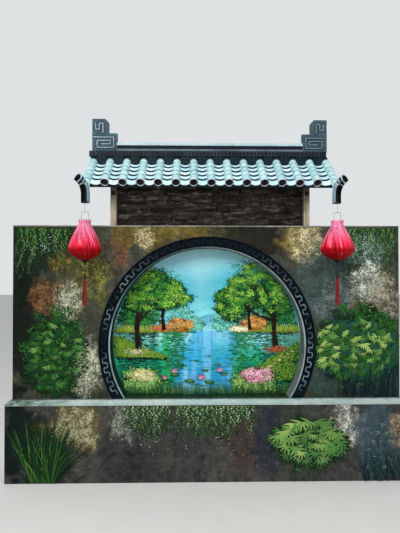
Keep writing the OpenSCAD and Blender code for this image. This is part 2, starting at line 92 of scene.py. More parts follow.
ROOF_X = 0.029
SLOPE = math.radians(41.5)
PITCH = 0.154
SIDE_ROWS = 7
COURSES = 5
BACK_COURSES = 3
SADDLE_Y = 0.033
EAVE_Y = 0.310
EAVE_Z = WALL_TOP + 0.361
BARREL_R = 0.036
TILE_T = 0.007
SKIRT = 0.008
TROUGH = 0.022
SLOPE_L = (EAVE_Y - SADDLE_Y) / math.cos(SLOPE)
COURSE_L = SLOPE_L / COURSES
BACK_L = COURSE_L * BACK_COURSES
VERGE_X = SIDE_ROWS * PITCH

HORN_R = 0.040
HORN_L = 0.075
HORN_BEND_R = 0.130
HORN_TURN = math.radians(34)
HORN_LEAD = 0.012
HORN_T = 0.007
HORN_OFF = 0.0123
HORN_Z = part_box("corner_horns")[0][2]
HORN_Y = EAVE_Y + HORN_OFF + HORN_R

HANG_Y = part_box("left_silk")[0][1] / 2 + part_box("left_silk")[1][1] / 2
LANTERN_X = {s: (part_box(s + "_silk")[0][0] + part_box(s + "_silk")[1][0]) / 2 for s in SIDES}

# Seeds of the random numbers
SEEDS = {
    "wall": 11, "bench": 12, "mural": 13, "hills": 3, "front tiles": 20, "back tiles": 22,
    "bricks": 41, "left silk": 51, "right silk": 52, "threads": 61,
}

# Mesh building


class Pile:
    """Gathers many small meshes into one piece. Each keeps a colour of its own in the attribute tint."""

    def __init__(self):
        self.points = []
        self.corners = []
        self.sizes = []
        self.tints = []
        self.total = 0

    def add(self, points, faces, tint=(0.5, 0.5, 0.5)):
        """Adds one mesh. A tint is one colour for all of it or one for each of its points."""
        points = np.asarray(points, float)
        self.add_copies(points[None], faces, np.broadcast_to(np.asarray(tint, float), (1, len(points), 3)))

    def add_copies(self, points, faces, tints):
        """Adds n meshes with the same faces. The points and the tints are arrays of n by points by 3."""
        copies, size = points.shape[:2]
        flat = np.concatenate([np.asarray(face) for face in faces])
        starts = self.total + size * np.arange(copies)
        self.points.append(points.reshape(-1, 3))
        self.corners.append((flat[None] + starts[:, None]).ravel())
        self.sizes.append(np.tile([len(face) for face in faces], copies))
        self.tints.append(np.broadcast_to(tints, points.shape).reshape(-1, 3))
        self.total += copies * size

    def piece(self, name, material, body="root", slot=None, smooth=None, replaces=()):
        """Makes the piece. Edges sharper than smooth, in degrees, stay crisp."""
        points = np.concatenate(self.points)
        corners = np.concatenate(self.corners)
        sizes = np.concatenate(self.sizes)
        tints = np.concatenate(self.tints)
        mesh = bpy.data.meshes.new(name)
        mesh.vertices.add(len(points))
        mesh.vertices.foreach_set("co", points.ravel())
        mesh.loops.add(len(corners))
        mesh.loops.foreach_set("vertex_index", corners)
        mesh.polygons.add(len(sizes))
        mesh.polygons.foreach_set("loop_start", np.concatenate([[0], np.cumsum(sizes)[:-1]]))
        mesh.update(calc_edges=True)
        mesh.validate()
        layer = mesh.attributes.new("tint", "FLOAT_COLOR", "POINT")
        layer.data.foreach_set("color", np.column_stack([tints, np.ones(len(tints))]).ravel())
        mesh.materials.append(material)
        if smooth:
            mesh.shade_smooth()
            mesh.set_sharp_from_angle(angle=math.radians(smooth))
        made = bpy.data.objects.new(name, mesh)
        scene.collection.objects.link(made)
        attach(made, body)
        if replaces:
            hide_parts(*replaces)
        return made


def add_bevel(thing, width):
    bevel = thing.modifiers.new("bevel", "BEVEL")
    bevel.width = width
    bevel.segments = 2
    bevel.limit_method = "ANGLE"
    bevel.angle_limit = math.radians(40)
    bevel.harden_normals = False


def loft(rings, caps=True):
    """A skin over closed rings of points of the same number, with closed ends if caps."""
    rings = np.asarray(rings, float)
    count, size = rings.shape[:2]
    faces = []
    for i in range(count - 1):
        for k in range(size):
            n = (k + 1) % size
            faces.append((i * size + k, i * size + n, (i + 1) * size + n, (i + 1) * size + k))
    if caps:
        faces.append(tuple(range(size))[::-1])
        faces.append(tuple((count - 1) * size + k for k in range(size)))
    return rings.reshape(-1, 3), faces


def brick(low, high, soft=0.0):
    """A box between two corners, with its edges cut back by soft."""
    low, high = np.asarray(low, float), np.asarray(high, float)
    rings = []
    for z, inset in ((low[2], soft), (low[2] + soft, 0), (high[2] - soft, 0), (high[2], soft)):
        x0, x1 = low[0] + inset, high[0] - inset
        y0, y1 = low[1] + inset, high[1] - inset
        rings.append([
            (x0 + soft, y0, z), (x1 - soft, y0, z), (x1, y0 + soft, z), (x1, y1 - soft, z),
            (x1 - soft, y1, z), (x0 + soft, y1, z), (x0, y1 - soft, z), (x0, y0 + soft, z),
        ])
    return loft(rings)


# Colours and materials


def colour(code):
    """The linear red, green and blue of a colour code."""
    parts = np.array([int(code[i:i + 2], 16) for i in (1, 3, 5)]) / 255
    return np.where(parts <= 0.04045, parts / 12.92, ((parts + 0.055) / 1.055) ** 2.4)


def solid(code):
    return (*colour(code), 1.0)


class Shader:
    """One procedural material, put together from a few kinds of node."""

    def __init__(self, name, roughness, specular=0.5, metallic=0.0, sheen=0.0):
        self.material = bpy.data.materials.new(name)
        self.material.use_nodes = True
        self.tree = self.material.node_tree
        self.surface = self.tree.nodes["Principled BSDF"]
        settings = {
            "Roughness": roughness, "Specular IOR Level": specular, "Metallic": metallic,
            "Sheen Weight": sheen,
        }
        for key, value in settings.items():
            self.surface.inputs[key].default_value = value
        self.place = self.add("ShaderNodeTexCoord").outputs["Object"]

    def add(self, kind, inputs=None, **settings):
        node = self.tree.nodes.new(kind)
        for key, value in settings.items():
            setattr(node, key, value)
        for key, value in (inputs or {}).items():
            self.feed(node.inputs[key], value)
        return node

    def feed(self, socket, value):
        """Links a socket to a node's output, or sets it to a number or to a colour code's colour."""
        if isinstance(value, bpy.types.NodeSocket):
            self.tree.links.new(value, socket)
        else:
            socket.default_value = solid(value) if isinstance(value, str) else value

    def stretched(self, x, y, z):
        node = self.add("ShaderNodeVectorMath", {0: self.place, 1: (x, y, z)}, operation="MULTIPLY")
        return node.outputs[0]

    def axis(self, name):
        node = self.add("ShaderNodeSeparateXYZ", {0: self.place})
        return node.outputs[name]

    def noise(self, scale, detail=4.0, roughness=0.55, place=None, distortion=0.0):
        inputs = {
            "Vector": place or self.place, "Scale": scale, "Detail": detail,
            "Roughness": roughness, "Distortion": distortion,
        }
        return self.add("ShaderNodeTexNoise", inputs).outputs[0]

    def cells(self, scale):
        inputs = {"Vector": self.place, "Scale": scale}
        return self.add("ShaderNodeTexVoronoi", inputs).outputs["Distance"]

    def wave(self, scale, distortion):
        """Level bands, one over the other."""
        inputs = {"Vector": self.place, "Scale": scale, "Distortion": distortion}
        return self.add("ShaderNodeTexWave", inputs, bands_direction="Z").outputs["Fac"]

    def tint(self):
        return self.add("ShaderNodeAttribute", attribute_name="tint").outputs["Color"]

    def tint_parts(self):
        """The red, green and blue of the tint, each from 0 to 1."""
        return self.add("ShaderNodeSeparateColor", {0: self.tint()}).outputs

    def ramp(self, value, *stops):
        node = self.add("ShaderNodeValToRGB", {0: value})
        marks = node.color_ramp.elements
        while len(marks) < len(stops):
            marks.new(0.5)
        for mark, (place, shade) in zip(marks, stops):
            mark.position = place
            mark.color = solid(shade)
        return node.outputs["Color"]

    def level(self, value, low, high, start=0.0, end=1.0):
        """Goes softly from start to end as value goes from low to high."""
        inputs = {"Value": value, "From Min": low, "From Max": high, "To Min": start, "To Max": end}
        return self.add("ShaderNodeMapRange", inputs, interpolation_type="SMOOTHSTEP").outputs[0]

    def calc(self, operation, a, b=0.5):
        return self.add("ShaderNodeMath", {0: a, 1: b}, operation=operation).outputs[0]

    def times(self, a, b):
        return self.calc("MULTIPLY", a, b)

    def plus(self, a, b):
        return self.calc("ADD", a, b)

    def mix(self, amount, a, b):
        return self.add("ShaderNodeMix", {0: amount, 6: a, 7: b}, data_type="RGBA").outputs[2]

    def over(self, base, shade, value, low, high, amount=1.0):
        """Lays a shade over a colour: none of it where value is low, and up to amount where it is high."""
        return self.mix(self.level(value, low, high, 0.0, amount), base, shade)

    def shaded(self, base, value, low, high):
        """Darkens or lightens a colour by a factor that goes from low to high with value."""
        factor = self.level(value, 0.25, 0.75, low, high)
        node = self.add("ShaderNodeVectorMath", {0: base, "Scale": factor}, operation="SCALE")
        return node.outputs[0]

    def patch(self, base, shade, x, z, half_x, half_z, ragged, amount=1.0, grain=None):
        """Lays a patch of another colour round a point of an upright face, with ragged edges."""
        centred = self.add(
            "ShaderNodeVectorMath",
            {0: self.place, 1: (1 / half_x, 0, 1 / half_z), 2: (-x / half_x, 0, -z / half_z)},
            operation="MULTIPLY_ADD",
        )
        away = self.add("ShaderNodeVectorMath", {0: centred.outputs[0]}, operation="LENGTH").outputs["Value"]
        mask = self.level(self.plus(away, ragged), 1.15, 0.55, 0.0, amount)
        if grain is not None:
            mask = self.times(mask, grain)
        return self.mix(mask, base, shade)

    def bump(self, height, distance, strength=1.0):
        node = self.add("ShaderNodeBump", {"Height": height, "Distance": distance, "Strength": strength})
        return node.outputs[0]

    def facing(self, axis):
        """How far the face looks along an axis, from -1 to 1."""
        normal = self.add("ShaderNodeNewGeometry").outputs["Normal"]
        return self.add("ShaderNodeSeparateXYZ", {0: normal}).outputs[axis]

    def mottled(self, scale, detail, dark, light):
        """A colour that varies between two in clouds."""
        return self.ramp(self.noise(scale, detail), (0.3, dark), (0.7, light))

    def grained(self, base, grain, low, high, depth, strength):
        """Finishes the material with a grain that shades its colour and stands out a little."""
        return self.done(self.shaded(base, grain, low, high), normal=self.bump(grain, depth, strength))

    def done(self, base, roughness=None, normal=None):
        self.feed(self.surface.inputs["Base Color"], base)
        if roughness is not None:
            self.feed(self.surface.inputs["Roughness"], roughness)
        if normal is not None:
            self.feed(self.surface.inputs["Normal"], normal)
        return self.material


def dress(material, *names, bevel=0.0):
    """Gives CAD nodes a material, and softened edges if bevel is set."""
    for name in names:
        node = nodes[name]
        if not node.material_slots:
            node.data.materials.append(material)
        for slot in node.material_slots:
            slot.material = material
        if bevel:
            add_bevel(node, bevel)


# Painted plaster

PLAIN_PLASTER = ((0.35, "#5f5c56"), (0.65, "#7a776f"))
# Patches on the wall's face: colour, x, z, half width, half height, amount, speckled or not
WALL_PATCHES = [
    ("#0b130e", -1.70, 1.45, 0.22, 0.95, 0.97, False),
    ("#132016", -1.48, 2.02, 0.36, 0.28, 0.95, False),
    ("#141f14", -1.40, 1.02, 0.34, 0.46, 0.92, False),
    ("#4a4a2a", -1.06, 1.74, 0.24, 0.36, 0.85, False),
    ("#8b8a45", -1.02, 1.76, 0.16, 0.22, 0.8, True),
    ("#705a28", -1.32, 1.90, 0.10, 0.13, 0.95, True),
    ("#6e4c2c", -1.42, 1.56, 0.17, 0.22, 0.9, True),
    ("#a9ab90", -1.24, 1.53, 0.14, 0.18, 0.95, True),
    ("#b9bda0", -1.09, 1.00, 0.16, 0.32, 0.95, True),
    ("#3b3a2c", -1.08, 1.30, 0.18, 0.25, 0.6, False),
    ("#6a452a", -0.79, 2.02, 0.12, 0.26, 0.9, True),
    ("#5c4e26", -0.45, 2.14, 0.52, 0.15, 0.92, False),
    ("#70662f", -0.36, 2.14, 0.30, 0.09, 0.8, True),
    ("#b5a880", -0.57, 2.12, 0.10, 0.12, 0.85, True),
    ("#584f20", -0.05, 2.17, 0.26, 0.07, 0.85, True),
    ("#1f1d15", 0.45, 2.10, 0.34, 0.16, 0.9, False),
    ("#7d6f3c", 0.86, 2.10, 0.20, 0.19, 0.85, False),
    ("#c6be94", 0.91, 2.08, 0.15, 0.21, 0.95, True),
    ("#3c4e4c", 1.10, 1.62, 0.30, 0.48, 0.9, False),
    ("#68706c", 1.16, 1.50, 0.24, 0.30, 0.6, True),
    ("#33453f", 1.05, 0.92, 0.20, 0.34, 0.9, False),
    ("#1c3622", 1.48, 2.04, 0.28, 0.26, 0.95, False),
    ("#9fb5ae", 1.44, 2.02, 0.20, 0.18, 0.6, True),
    ("#c9cdbd", 1.45, 1.68, 0.18, 0.22, 0.97, True),
    ("#8d8672", 1.62, 1.58, 0.16, 0.28, 0.8, True),
    ("#4d4422", 1.42, 1.47, 0.16, 0.09, 0.9, False),
    ("#0f2320", 1.40, 1.10, 0.46, 0.36, 0.93, False),
    ("#0e2428", 1.58, 0.82, 0.28, 0.28, 0.93, False),
]
BENCH_PATCHES = [
    ("#081416", -1.64, 0.33, 0.18, 0.50, 0.97, False),
    ("#0f1c15", -1.36, 0.30, 0.30, 0.38, 0.9, False),
    ("#544c26", -1.14, 0.48, 0.28, 0.22, 0.85, False),
    ("#a5a480", -1.14, 0.48, 0.22, 0.17, 0.8, True),
    ("#9a9e92", -0.76, 0.50, 0.12, 0.16, 0.8, True),
    ("#2a3820", -0.50, 0.56, 0.26, 0.15, 0.85, False),
    ("#2a3820", 0.05, 0.54, 0.38, 0.17, 0.85, False),
    ("#40302a", 0.34, 0.34, 0.17, 0.32, 0.65, False),
    ("#2a2e38", 0.52, 0.34, 0.15, 0.38, 0.85, False),
    ("#2a352a", 0.86, 0.34, 0.36, 0.34, 0.75, False),
    ("#c1c2b6", 1.20, 0.46, 0.15, 0.22, 0.95, True),
    ("#3c4c54", 1.46, 0.34, 0.22, 0.42, 0.9, False),
    ("#937d60", 1.66, 0.46, 0.09, 0.15, 0.85, True),
]


def painted_plaster(name, patches, face_y, base_stops, olive, deep):
    """Old plaster painted with dark mottled colours on its front, and grey on its other sides."""
    s = Shader(name, 0.85, 0.12)
    broad = s.noise(1.9, 6, 0.6)
    fine = s.noise(13, 6, 0.68)
    speckle = s.noise(58, 4, 0.65)
    hue = s.noise(4.4, 6, 0.68, distortion=0.8)
    ragged = s.times(s.calc("SUBTRACT", s.noise(5.5, 6, 0.7), 0.5), 2.8)
    both = s.plus(s.times(fine, 0.5), s.times(speckle, 0.5))
    grain = s.level(both, 0.46, 0.56, 0.25, 1.0)
    base = s.ramp(broad, *base_stops)
    base = s.over(base, olive, hue, 0.52, 0.64, 0.65)
    base = s.over(base, deep, hue, 0.47, 0.36, 0.75)
    for shade, x, z, half_x, half_z, amount, speckled in patches:
        base = s.patch(base, shade, x, z, half_x, half_z, ragged, amount, grain if speckled else None)
    streak = s.noise(1.0, 5, 0.6, s.stretched(14, 14, 1.6))
    base = s.shaded(base, streak, 0.84, 1.12)
    base = s.shaded(base, fine, 0.52, 1.42)
    base = s.shaded(base, speckle, 0.66, 1.34)
    plain = s.ramp(broad, *PLAIN_PLASTER)
    plain = s.shaded(plain, streak, 0.75, 1.1)
    plain = s.shaded(plain, fine, 0.8, 1.15)
    front = s.level(s.axis("Y"), face_y + 0.02, face_y + 0.004)
    base = s.mix(front, plain, base)
    height = s.plus(s.times(fine, 0.5), s.times(s.noise(140, 2), 0.25))
    return s.done(base, s.level(fine, 0.3, 0.7, 0.75, 0.95), s.bump(height, 0.004, 0.5))


wall_paint = painted_plaster(
    "painted_wall", WALL_PATCHES, FACE_Y,
    [(0.30, "#232822"), (0.45, "#383b31"), (0.60, "#454842"), (0.72, "#3a3f2f")], "#4b4a2c", "#20231d",
)
bench_paint = painted_plaster(
    "painted_bench", BENCH_PATCHES, BENCH_Y,
    [(0.30, "#2a2b2b"), (0.48, "#3c3c3b"), (0.62, "#474642"), (0.75, "#3d3733")], "#44403a", "#222426",
)


def niche_floor_paint():
    """The main wall's foot: plain plaster outside, dark green where it shows as the niche's sill."""
    s = Shader("sill_paint", 0.85, 0.12)
    fine = s.noise(18, 5, 0.65)
    green = s.ramp(fine, (0.35, "#0d2019"), (0.55, "#1d3a22"), (0.7, "#2f5a2c"))
    plain = s.ramp(s.noise(2, 5), *PLAIN_PLASTER)
    up = s.level(s.facing("Z"), 0.4, 0.8)
    return s.done(s.mix(up, plain, green), normal=s.bump(fine, 0.003, 0.4))


def cement():
    s = Shader("cement", 0.8, 0.2)
    fine = s.noise(30, 5, 0.65)
    base = s.ramp(s.noise(4, 5), (0.3, "#aec6c0"), (0.5, "#cbdcd8"), (0.7, "#e0e6de"))
    base = s.shaded(base, fine, 0.78, 1.12)
    moss = s.level(s.plus(s.axis("X"), s.noise(7, 5)), -0.7, -1.15)
    moss = s.times(moss, s.level(s.noise(20, 4, 0.7), 0.4, 0.55, 0.35, 1.0))
    base = s.mix(moss, base, s.ramp(fine, (0.3, "#27402f"), (0.7, "#56775c")))
    # Painted shade on the coping's faces that don't look up.
    under = s.level(s.facing("Z"), 0.5, 0.0)
    base = s.mix(s.times(under, 0.45), base, "#5c6660")
    # Darker along the back of the top, next to the wall: painted shade in that corner, with dirt.
    behind = s.plus(s.axis("Y"), s.times(s.noise(11, 5, 0.7), 0.05))
    dirt = s.level(behind, FACE_Y - 0.035, FACE_Y + 0.005, 0.0, 0.9)
    base = s.mix(dirt, base, s.ramp(fine, (0.3, "#1b2a26"), (0.7, "#46574f")))
    return s.done(base, normal=s.bump(fine, 0.004, 0.5))


def screed():
    s = Shader("screed", 0.9, 0.15)
    fine = s.noise(24, 5, 0.7)
    base = s.ramp(s.noise(3, 5), (0.3, "#5c5b50"), (0.5, "#7d7c70"), (0.7, "#9b998b"))
    return s.grained(base, fine, 0.7, 1.15, 0.004, 0.6)


dress(wall_paint, "back_wall", "front_wall_left", "front_wall_right", "front_wall_top")
dress(bench_paint, "bench_wall")
dress(niche_floor_paint(), "wall_base")
dress(cement(), "bench_coping", bevel=0.004)
dress(screed(), "wall_screed", bevel=0.003)

# Strokes of paint

# How far strokes stay from the edges of a painted face, and how far they stand off it
PAINT_EDGE = 0.002
PAINT_OFF = 0.0002


def half_leaf(side):
    rows = [(0, 0), (0.18, 0.30), (0.42, 0.50), (0.70, 0.36), (1, 0)]
    return [(u, side * v) for u, v in rows]


LEAF = (
    np.array(half_leaf(1) + half_leaf(-1)),
    [(0, 4, 3, 2, 1), (5, 6, 7, 8, 9)],
    np.array([1.15] * 5 + [0.72] * 5),
)
DAB = (
    np.array([(0, 0.05), (0.18, -0.38), (0.52, -0.5), (0.86, -0.3), (1, 0.08), (0.74, 0.42), (0.3, 0.5)]),
    [(0, 1, 2, 3, 4, 5, 6)],
    np.ones(7),
)

TOUCH = (np.array([(0, 0), (0.5, -0.45), (1, 0.05), (0.45, 0.5)]), [(0, 1, 2, 3)], np.ones(4))


def blade(bend, stations=6):
    """A blade of grass that bends to one side, as wide as 1 at its foot."""
    points, shades = [], []
    for i in range(stations):
        u = i / (stations - 1)
        half = 0.5 * (1 - u) ** 0.7
        points += [(u, bend * u * u * 10 - half), (u, bend * u * u * 10 + half)]
        shades += [0.55 + 0.6 * u] * 2
    faces = [(2 * i, 2 * i + 2, 2 * i + 3, 2 * i + 1) for i in range(stations - 1)]
    return np.array(points), faces, np.array(shades)


class Strokes(Pile):
    """Flat strokes of paint on an upright plane that faces the viewer, later ones over earlier ones."""

    LAYER = 0.00006
    SPRIG = 6
    TUFT = 12

    def __init__(self, y, allowed, seed):
        super().__init__()
        self.y = y
        self.allowed = allowed
        self.random = np.random.default_rng(seed)

    def lay(self, shape, x, z, length, width, angle, tints):
        """Lays strokes, each from (x, z) along its angle from the X axis."""
        outline, faces, shades = shape
        x, z, length, width, angle = np.broadcast_arrays(*np.atleast_1d(x, z, length, width, angle))
        tints = np.broadcast_to(tints, (len(x), 3))
        cos, sin = np.cos(angle)[:, None], np.sin(angle)[:, None]
        u = outline[None, :, 0] * length[:, None]
        v = outline[None, :, 1] * width[:, None]
        px = x[:, None] + u * cos - v * sin
        pz = z[:, None] + u * sin + v * cos
        inside = self.allowed(px, pz).all(axis=1)
        px, pz, tints = px[inside], pz[inside], tints[inside]
        if not len(px):
            return
        self.y -= self.LAYER
        depth = self.y - (np.arange(len(px)) % 40) * self.LAYER / 40
        points = np.stack([px, np.broadcast_to(depth[:, None], px.shape), pz], axis=2)
        self.add_copies(points, faces, tints[:, None] * shades[None, :, None])

    def pick(self, palette, count, jitter=0.12):
        """Colours from between the palette's, each a little lighter or darker."""
        shades = np.array([colour(c) for c in palette])
        spot = self.random.random(count) * (len(shades) - 1)
        low = np.floor(spot).astype(int)
        high = np.minimum(low + 1, len(shades) - 1)
        part = (spot - low)[:, None]
        picked = shades[low] * (1 - part) + shades[high] * part
        return picked * self.random.normal(1, jitter, (count, 1)).clip(0.5, 1.6)

    def speckles(self, x, z, half_x, half_z, count, size, palette):
        """Rounded dabs of lichen or blossom, densest in the middle."""
        r = self.random
        px = x + r.normal(0, 0.45, count) * half_x
        pz = z + r.normal(0, 0.45, count) * half_z
        length = size * r.uniform(0.4, 1.4, count)
        self.lay(DAB, px, pz, length, length * r.uniform(0.5, 1, count), r.uniform(0, 6.28, count),
                 self.pick(palette, count))

    def foliage(self, x, z, half_x, half_z, count, size, palettes, slim=0.32, droop=0.0):
        """A clump of leaves, laid in sprigs from dark at the back to light in front."""
        r, n = self.random, self.SPRIG
        for step, palette in enumerate(palettes):
            sprigs = max(1, count // (len(palettes) * n))
            across = r.uniform(-1, 1, sprigs)
            sx = x + across * half_x
            sz = z + r.uniform(-1, 1, sprigs) * half_z * np.sqrt(1 - (0.98 * across) ** 2)
            sz += 0.12 * half_z * step
            heading = r.normal(math.radians(-90 * droop), 1.3, sprigs)
            fan = np.linspace(-1.5, 1.5, n)
            px = np.repeat(sx, n) + r.normal(0, size * 0.3, sprigs * n)
            pz = np.repeat(sz, n) + r.normal(0, size * 0.3, sprigs * n)
            angle = np.repeat(heading, n) + np.tile(fan, sprigs) + r.normal(0, 0.2, sprigs * n)
            length = size * r.uniform(0.6, 1.25, sprigs * n)
            self.lay(LEAF, px, pz, length, length * slim, angle, self.pick(palette, sprigs * n))

    def palms(self, x, z, half_x, half_z, count, size, palette, slim=0.26):
        """Fans of leaves that hang from one point each, light over their own dark shadow."""
        r, n = self.random, self.SPRIG
        across = r.uniform(-1, 1, count)
        up = r.uniform(-1, 1, count) * np.sqrt(1 - (0.98 * across) ** 2)
        px = np.repeat(x + across * half_x, n)
        pz = np.repeat(z + up * half_z, n)
        angle = np.repeat(r.normal(-math.pi / 2, 0.5, count), n) + np.tile(np.linspace(-1.4, 1.4, n), count)
        length = size * np.repeat(r.uniform(0.7, 1.2, count), n) * r.uniform(0.8, 1.1, count * n)
        for shift, colours in ((0.14, DARK_LEAF), (0.0, palette)):
            tints = np.repeat(self.pick(colours, count), n, axis=0)
            self.lay(LEAF, px + shift * size, pz - shift * size, length, length * slim, angle, tints)

    def crown(self, x, z, half_x, half_z, count, size, palettes):
        """A mass of small leaves in tufts, from dark to light, the light ones higher and to the left."""
        r, n = self.random, self.TUFT
        for step, palette in enumerate(palettes):
            tufts = max(1, count // (len(palettes) * n))
            angle = r.uniform(0, 2 * math.pi, tufts)
            reach = np.sqrt(r.random(tufts)) * (1 - 0.04 * step)
            px = np.repeat(x + half_x * (reach * np.cos(angle) - 0.02 * step), n)
            pz = np.repeat(z + half_z * (reach * np.sin(angle) + 0.06 * step), n)
            px += r.normal(0, size * 1.2, tufts * n)
            pz += r.normal(0, size * 0.7, tufts * n)
            length = size * r.uniform(0.6, 1.4, tufts * n)
            tints = np.repeat(self.pick(palette, tufts, 0.2), n, axis=0)
            tints = tints * r.normal(1, 0.12, (tufts * n, 1))
            self.lay(TOUCH, px, pz, length, length * 0.55, r.uniform(-3.0, 0.0, tufts * n), tints)

    def grass(self, x0, x1, z, height, count, palette, lean=0.0, spread=0.5):
        r = self.random
        for bend in (-0.9, -0.4, 0.4, 0.9):
            part = max(1, count // 4)
            px = r.uniform(x0, x1, part)
            length = height * r.uniform(0.45, 1.1, part)
            self.lay(blade(bend * 0.6), px, z + r.normal(0, height * 0.06, part), length, length * 0.035,
                     math.pi / 2 + lean + r.normal(0, spread, part) * 0.5, self.pick(palette, part))

    def tuft(self, x, z, height, count, palette, spread=1.0, width=0.05):
        """Arching blades that grow from one foot."""
        r = self.random
        side = np.linspace(-1, 1, count) + r.normal(0, 0.08, count)
        for i in range(count):
            length = height * (1 - 0.25 * abs(side[i])) * r.uniform(0.75, 1.1)
            self.lay(blade(-side[i] * 0.9), x + side[i] * height * 0.05, z, length, length * width,
                     math.pi / 2 - side[i] * spread * 0.55, self.pick(palette, 1))

    def strand(self, x, z, length, size, palette, sway=0.01):
        """A creeper that hangs down from (x, z), with leaves on both sides."""
        r = self.random
        count = max(3, int(length / (size * 0.55)))
        t = np.linspace(0, 1, count)
        px = x + np.cumsum(r.normal(0, sway, count) * 0.5) + sway * np.sin(t * 9 + r.uniform(0, 6))
        pz = z - t * length
        side = np.where(np.arange(count) % 2 == 0, 1, -1)
        angle = -math.pi / 2 + side * r.uniform(0.35, 1.0, count)
        leaf = size * r.uniform(0.6, 1.1, count) * (1 - 0.4 * t)
        self.lay(LEAF, px, pz, leaf, leaf * 0.42, angle, self.pick(palette, count))

    def curtain(self, x0, x1, step, top, reach, size, palette, sway):
        """Creepers side by side under a top edge, each of its own length between two."""
        for x in np.arange(x0, x1, step):
            self.strand(x, top, self.random.uniform(*reach), size, palette, sway)

    def cane(self, x, z, height, lean, size, palette, stem):
        """An upright cane with drooping narrow leaves in threes along it."""
        r = self.random
        joints = max(3, int(height / (size * 1.1)))
        t = np.linspace(0, 1, joints)
        px = x + lean * t ** 2
        pz = z + height * t
        for i in range(joints - 1):
            dx, dz = px[i + 1] - px[i], pz[i + 1] - pz[i]
            self.lay(blade(0, 3), px[i], pz[i], math.hypot(dx, dz) * 1.25, size * 0.09,
                     math.atan2(dz, dx), self.pick([stem], 1))
        for i in range(1, joints):
            side = 1 if i % 2 else -1
            angle = -math.pi / 2 + side * np.array([0.35, 0.8, 1.25]) + r.normal(0, 0.15, 3)
            leaf = size * r.uniform(0.7, 1.2, 3)
            self.lay(LEAF, px[i], pz[i], leaf, leaf * 0.2, angle, self.pick(palette, 3))


def painted(name, roughness=0.8):
    """Paint laid on in strokes: the colour comes from each stroke."""
    s = Shader(name, roughness, 0.1)
    fine = s.noise(220, 3, 0.6)
    base = s.shaded(s.tint(), fine, 0.86, 1.14)
    return s.done(base, normal=s.bump(fine, 0.001, 0.3))


paint = painted("brushed_paint")
DARK_LEAF = ["#0a1c0f", "#143018", "#1d431c"]
MID_LEAF = ["#173c1c", "#225222", "#366a28"]
LIGHT_LEAF = ["#44763a", "#6f984a", "#a2b868"]
TEAL_LEAF = ["#0a2422", "#123a37", "#1f524a"]
LICHEN = ["#7f826c", "#b3b8a0"]
PETAL = ["#6f8278", "#b5c2ba"]


def on_wall(x, z):
    off_ring = np.hypot(x, z - RING_Z) > RING_OUTER + PAINT_EDGE
    between = (z > COPING_TOP + PAINT_EDGE) & (z < SCREED_LOW[2] - PAINT_EDGE)
    return (np.abs(x) < WALL_END - PAINT_EDGE) & between & off_ring


def on_bench(x, z):
    return (np.abs(x) < WALL_END - PAINT_EDGE) & (z > PAINT_EDGE) & (z < COPING_LOW[2] - PAINT_EDGE)


def paint_wall():
    s = Strokes(FACE_Y - PAINT_OFF, on_wall, SEEDS["wall"])
    top, reach = SCREED_LOW[2] - 0.01, (0.10, 0.46)
    for start in (-1.72, 1.24):
        end = start + 0.48
        s.curtain(start, start + 0.50, 0.011, top, reach, 0.022, DARK_LEAF + MID_LEAF[:2], 0.010)
        s.curtain(start + 0.04, end, 0.035, top, reach, 0.021, MID_LEAF[1:] + LIGHT_LEAF[:2], 0.012)
        s.curtain(start + 0.05, end, 0.055, top, reach, 0.017, LIGHT_LEAF, 0.013)
    s.speckles(-1.46, 2.06, 0.20, 0.13, 80, 0.008, PETAL)
    s.speckles(1.44, 2.06, 0.18, 0.14, 100, 0.008, PETAL)
    s.foliage(-1.38, 1.06, 0.26, 0.36, 1500, 0.052, [DARK_LEAF, DARK_LEAF, MID_LEAF], 0.24)
    s.palms(-1.36, 1.06, 0.24, 0.34, 100, 0.052, DARK_LEAF[1:] + MID_LEAF[:2])
    s.palms(-1.34, 1.06, 0.22, 0.32, 44, 0.046, MID_LEAF[1:] + LIGHT_LEAF[:2])
    for x in (-1.52, -1.44, -1.36):
        s.cane(x, COPING_TOP + 0.005, 0.45, 0.03, 0.07, MID_LEAF, "#263d1c")
    s.foliage(1.36, 1.12, 0.36, 0.30, 2600, 0.056, [TEAL_LEAF, DARK_LEAF, DARK_LEAF, MID_LEAF], 0.24)
    for clump in (
        (1.36, 1.12, 0.36, 0.28, 200, 0.056, TEAL_LEAF[1:] + MID_LEAF),
        (1.32, 1.12, 0.34, 0.27, 80, 0.052, MID_LEAF[1:] + LIGHT_LEAF[:2]),
        (1.30, 1.14, 0.34, 0.24, 26, 0.052, LIGHT_LEAF[1:]),
    ):
        s.palms(*clump)
    for x in (1.18, 1.34, 1.50):
        s.cane(x, COPING_TOP + 0.005, s.random.uniform(0.3, 0.45), 0.05, 0.07, MID_LEAF, "#263d1c")
    s.grass(1.24, 1.73, COPING_TOP + 0.004, 0.34, 150, ["#0a1d1f", "#17302f", "#31504e"], -0.15, 0.5)
    s.grass(-1.24, -0.84, COPING_TOP + 0.004, 0.10, 90, DARK_LEAF)
    for patch in (
        (-1.24, 1.53, 0.12, 0.16, 170, 0.009, LICHEN), (-1.09, 0.98, 0.12, 0.26, 300, 0.010, LICHEN),
        (-0.57, 2.12, 0.09, 0.09, 90, 0.010, ["#a5986a", "#d5cca4"]),
        (0.92, 2.06, 0.11, 0.16, 190, 0.010, ["#a59b6c", "#e2dbb6"]),
        (1.46, 1.66, 0.14, 0.17, 280, 0.010, LICHEN),
        (-1.42, 1.55, 0.11, 0.16, 120, 0.009, ["#5c3a22", "#80583a"]),
        (-0.79, 2.02, 0.08, 0.2, 120, 0.009, ["#5c3a22", "#8a6644"]),
    ):
        s.speckles(*patch)
    s.piece("painted_leaves_wall", paint, slot="plaster")


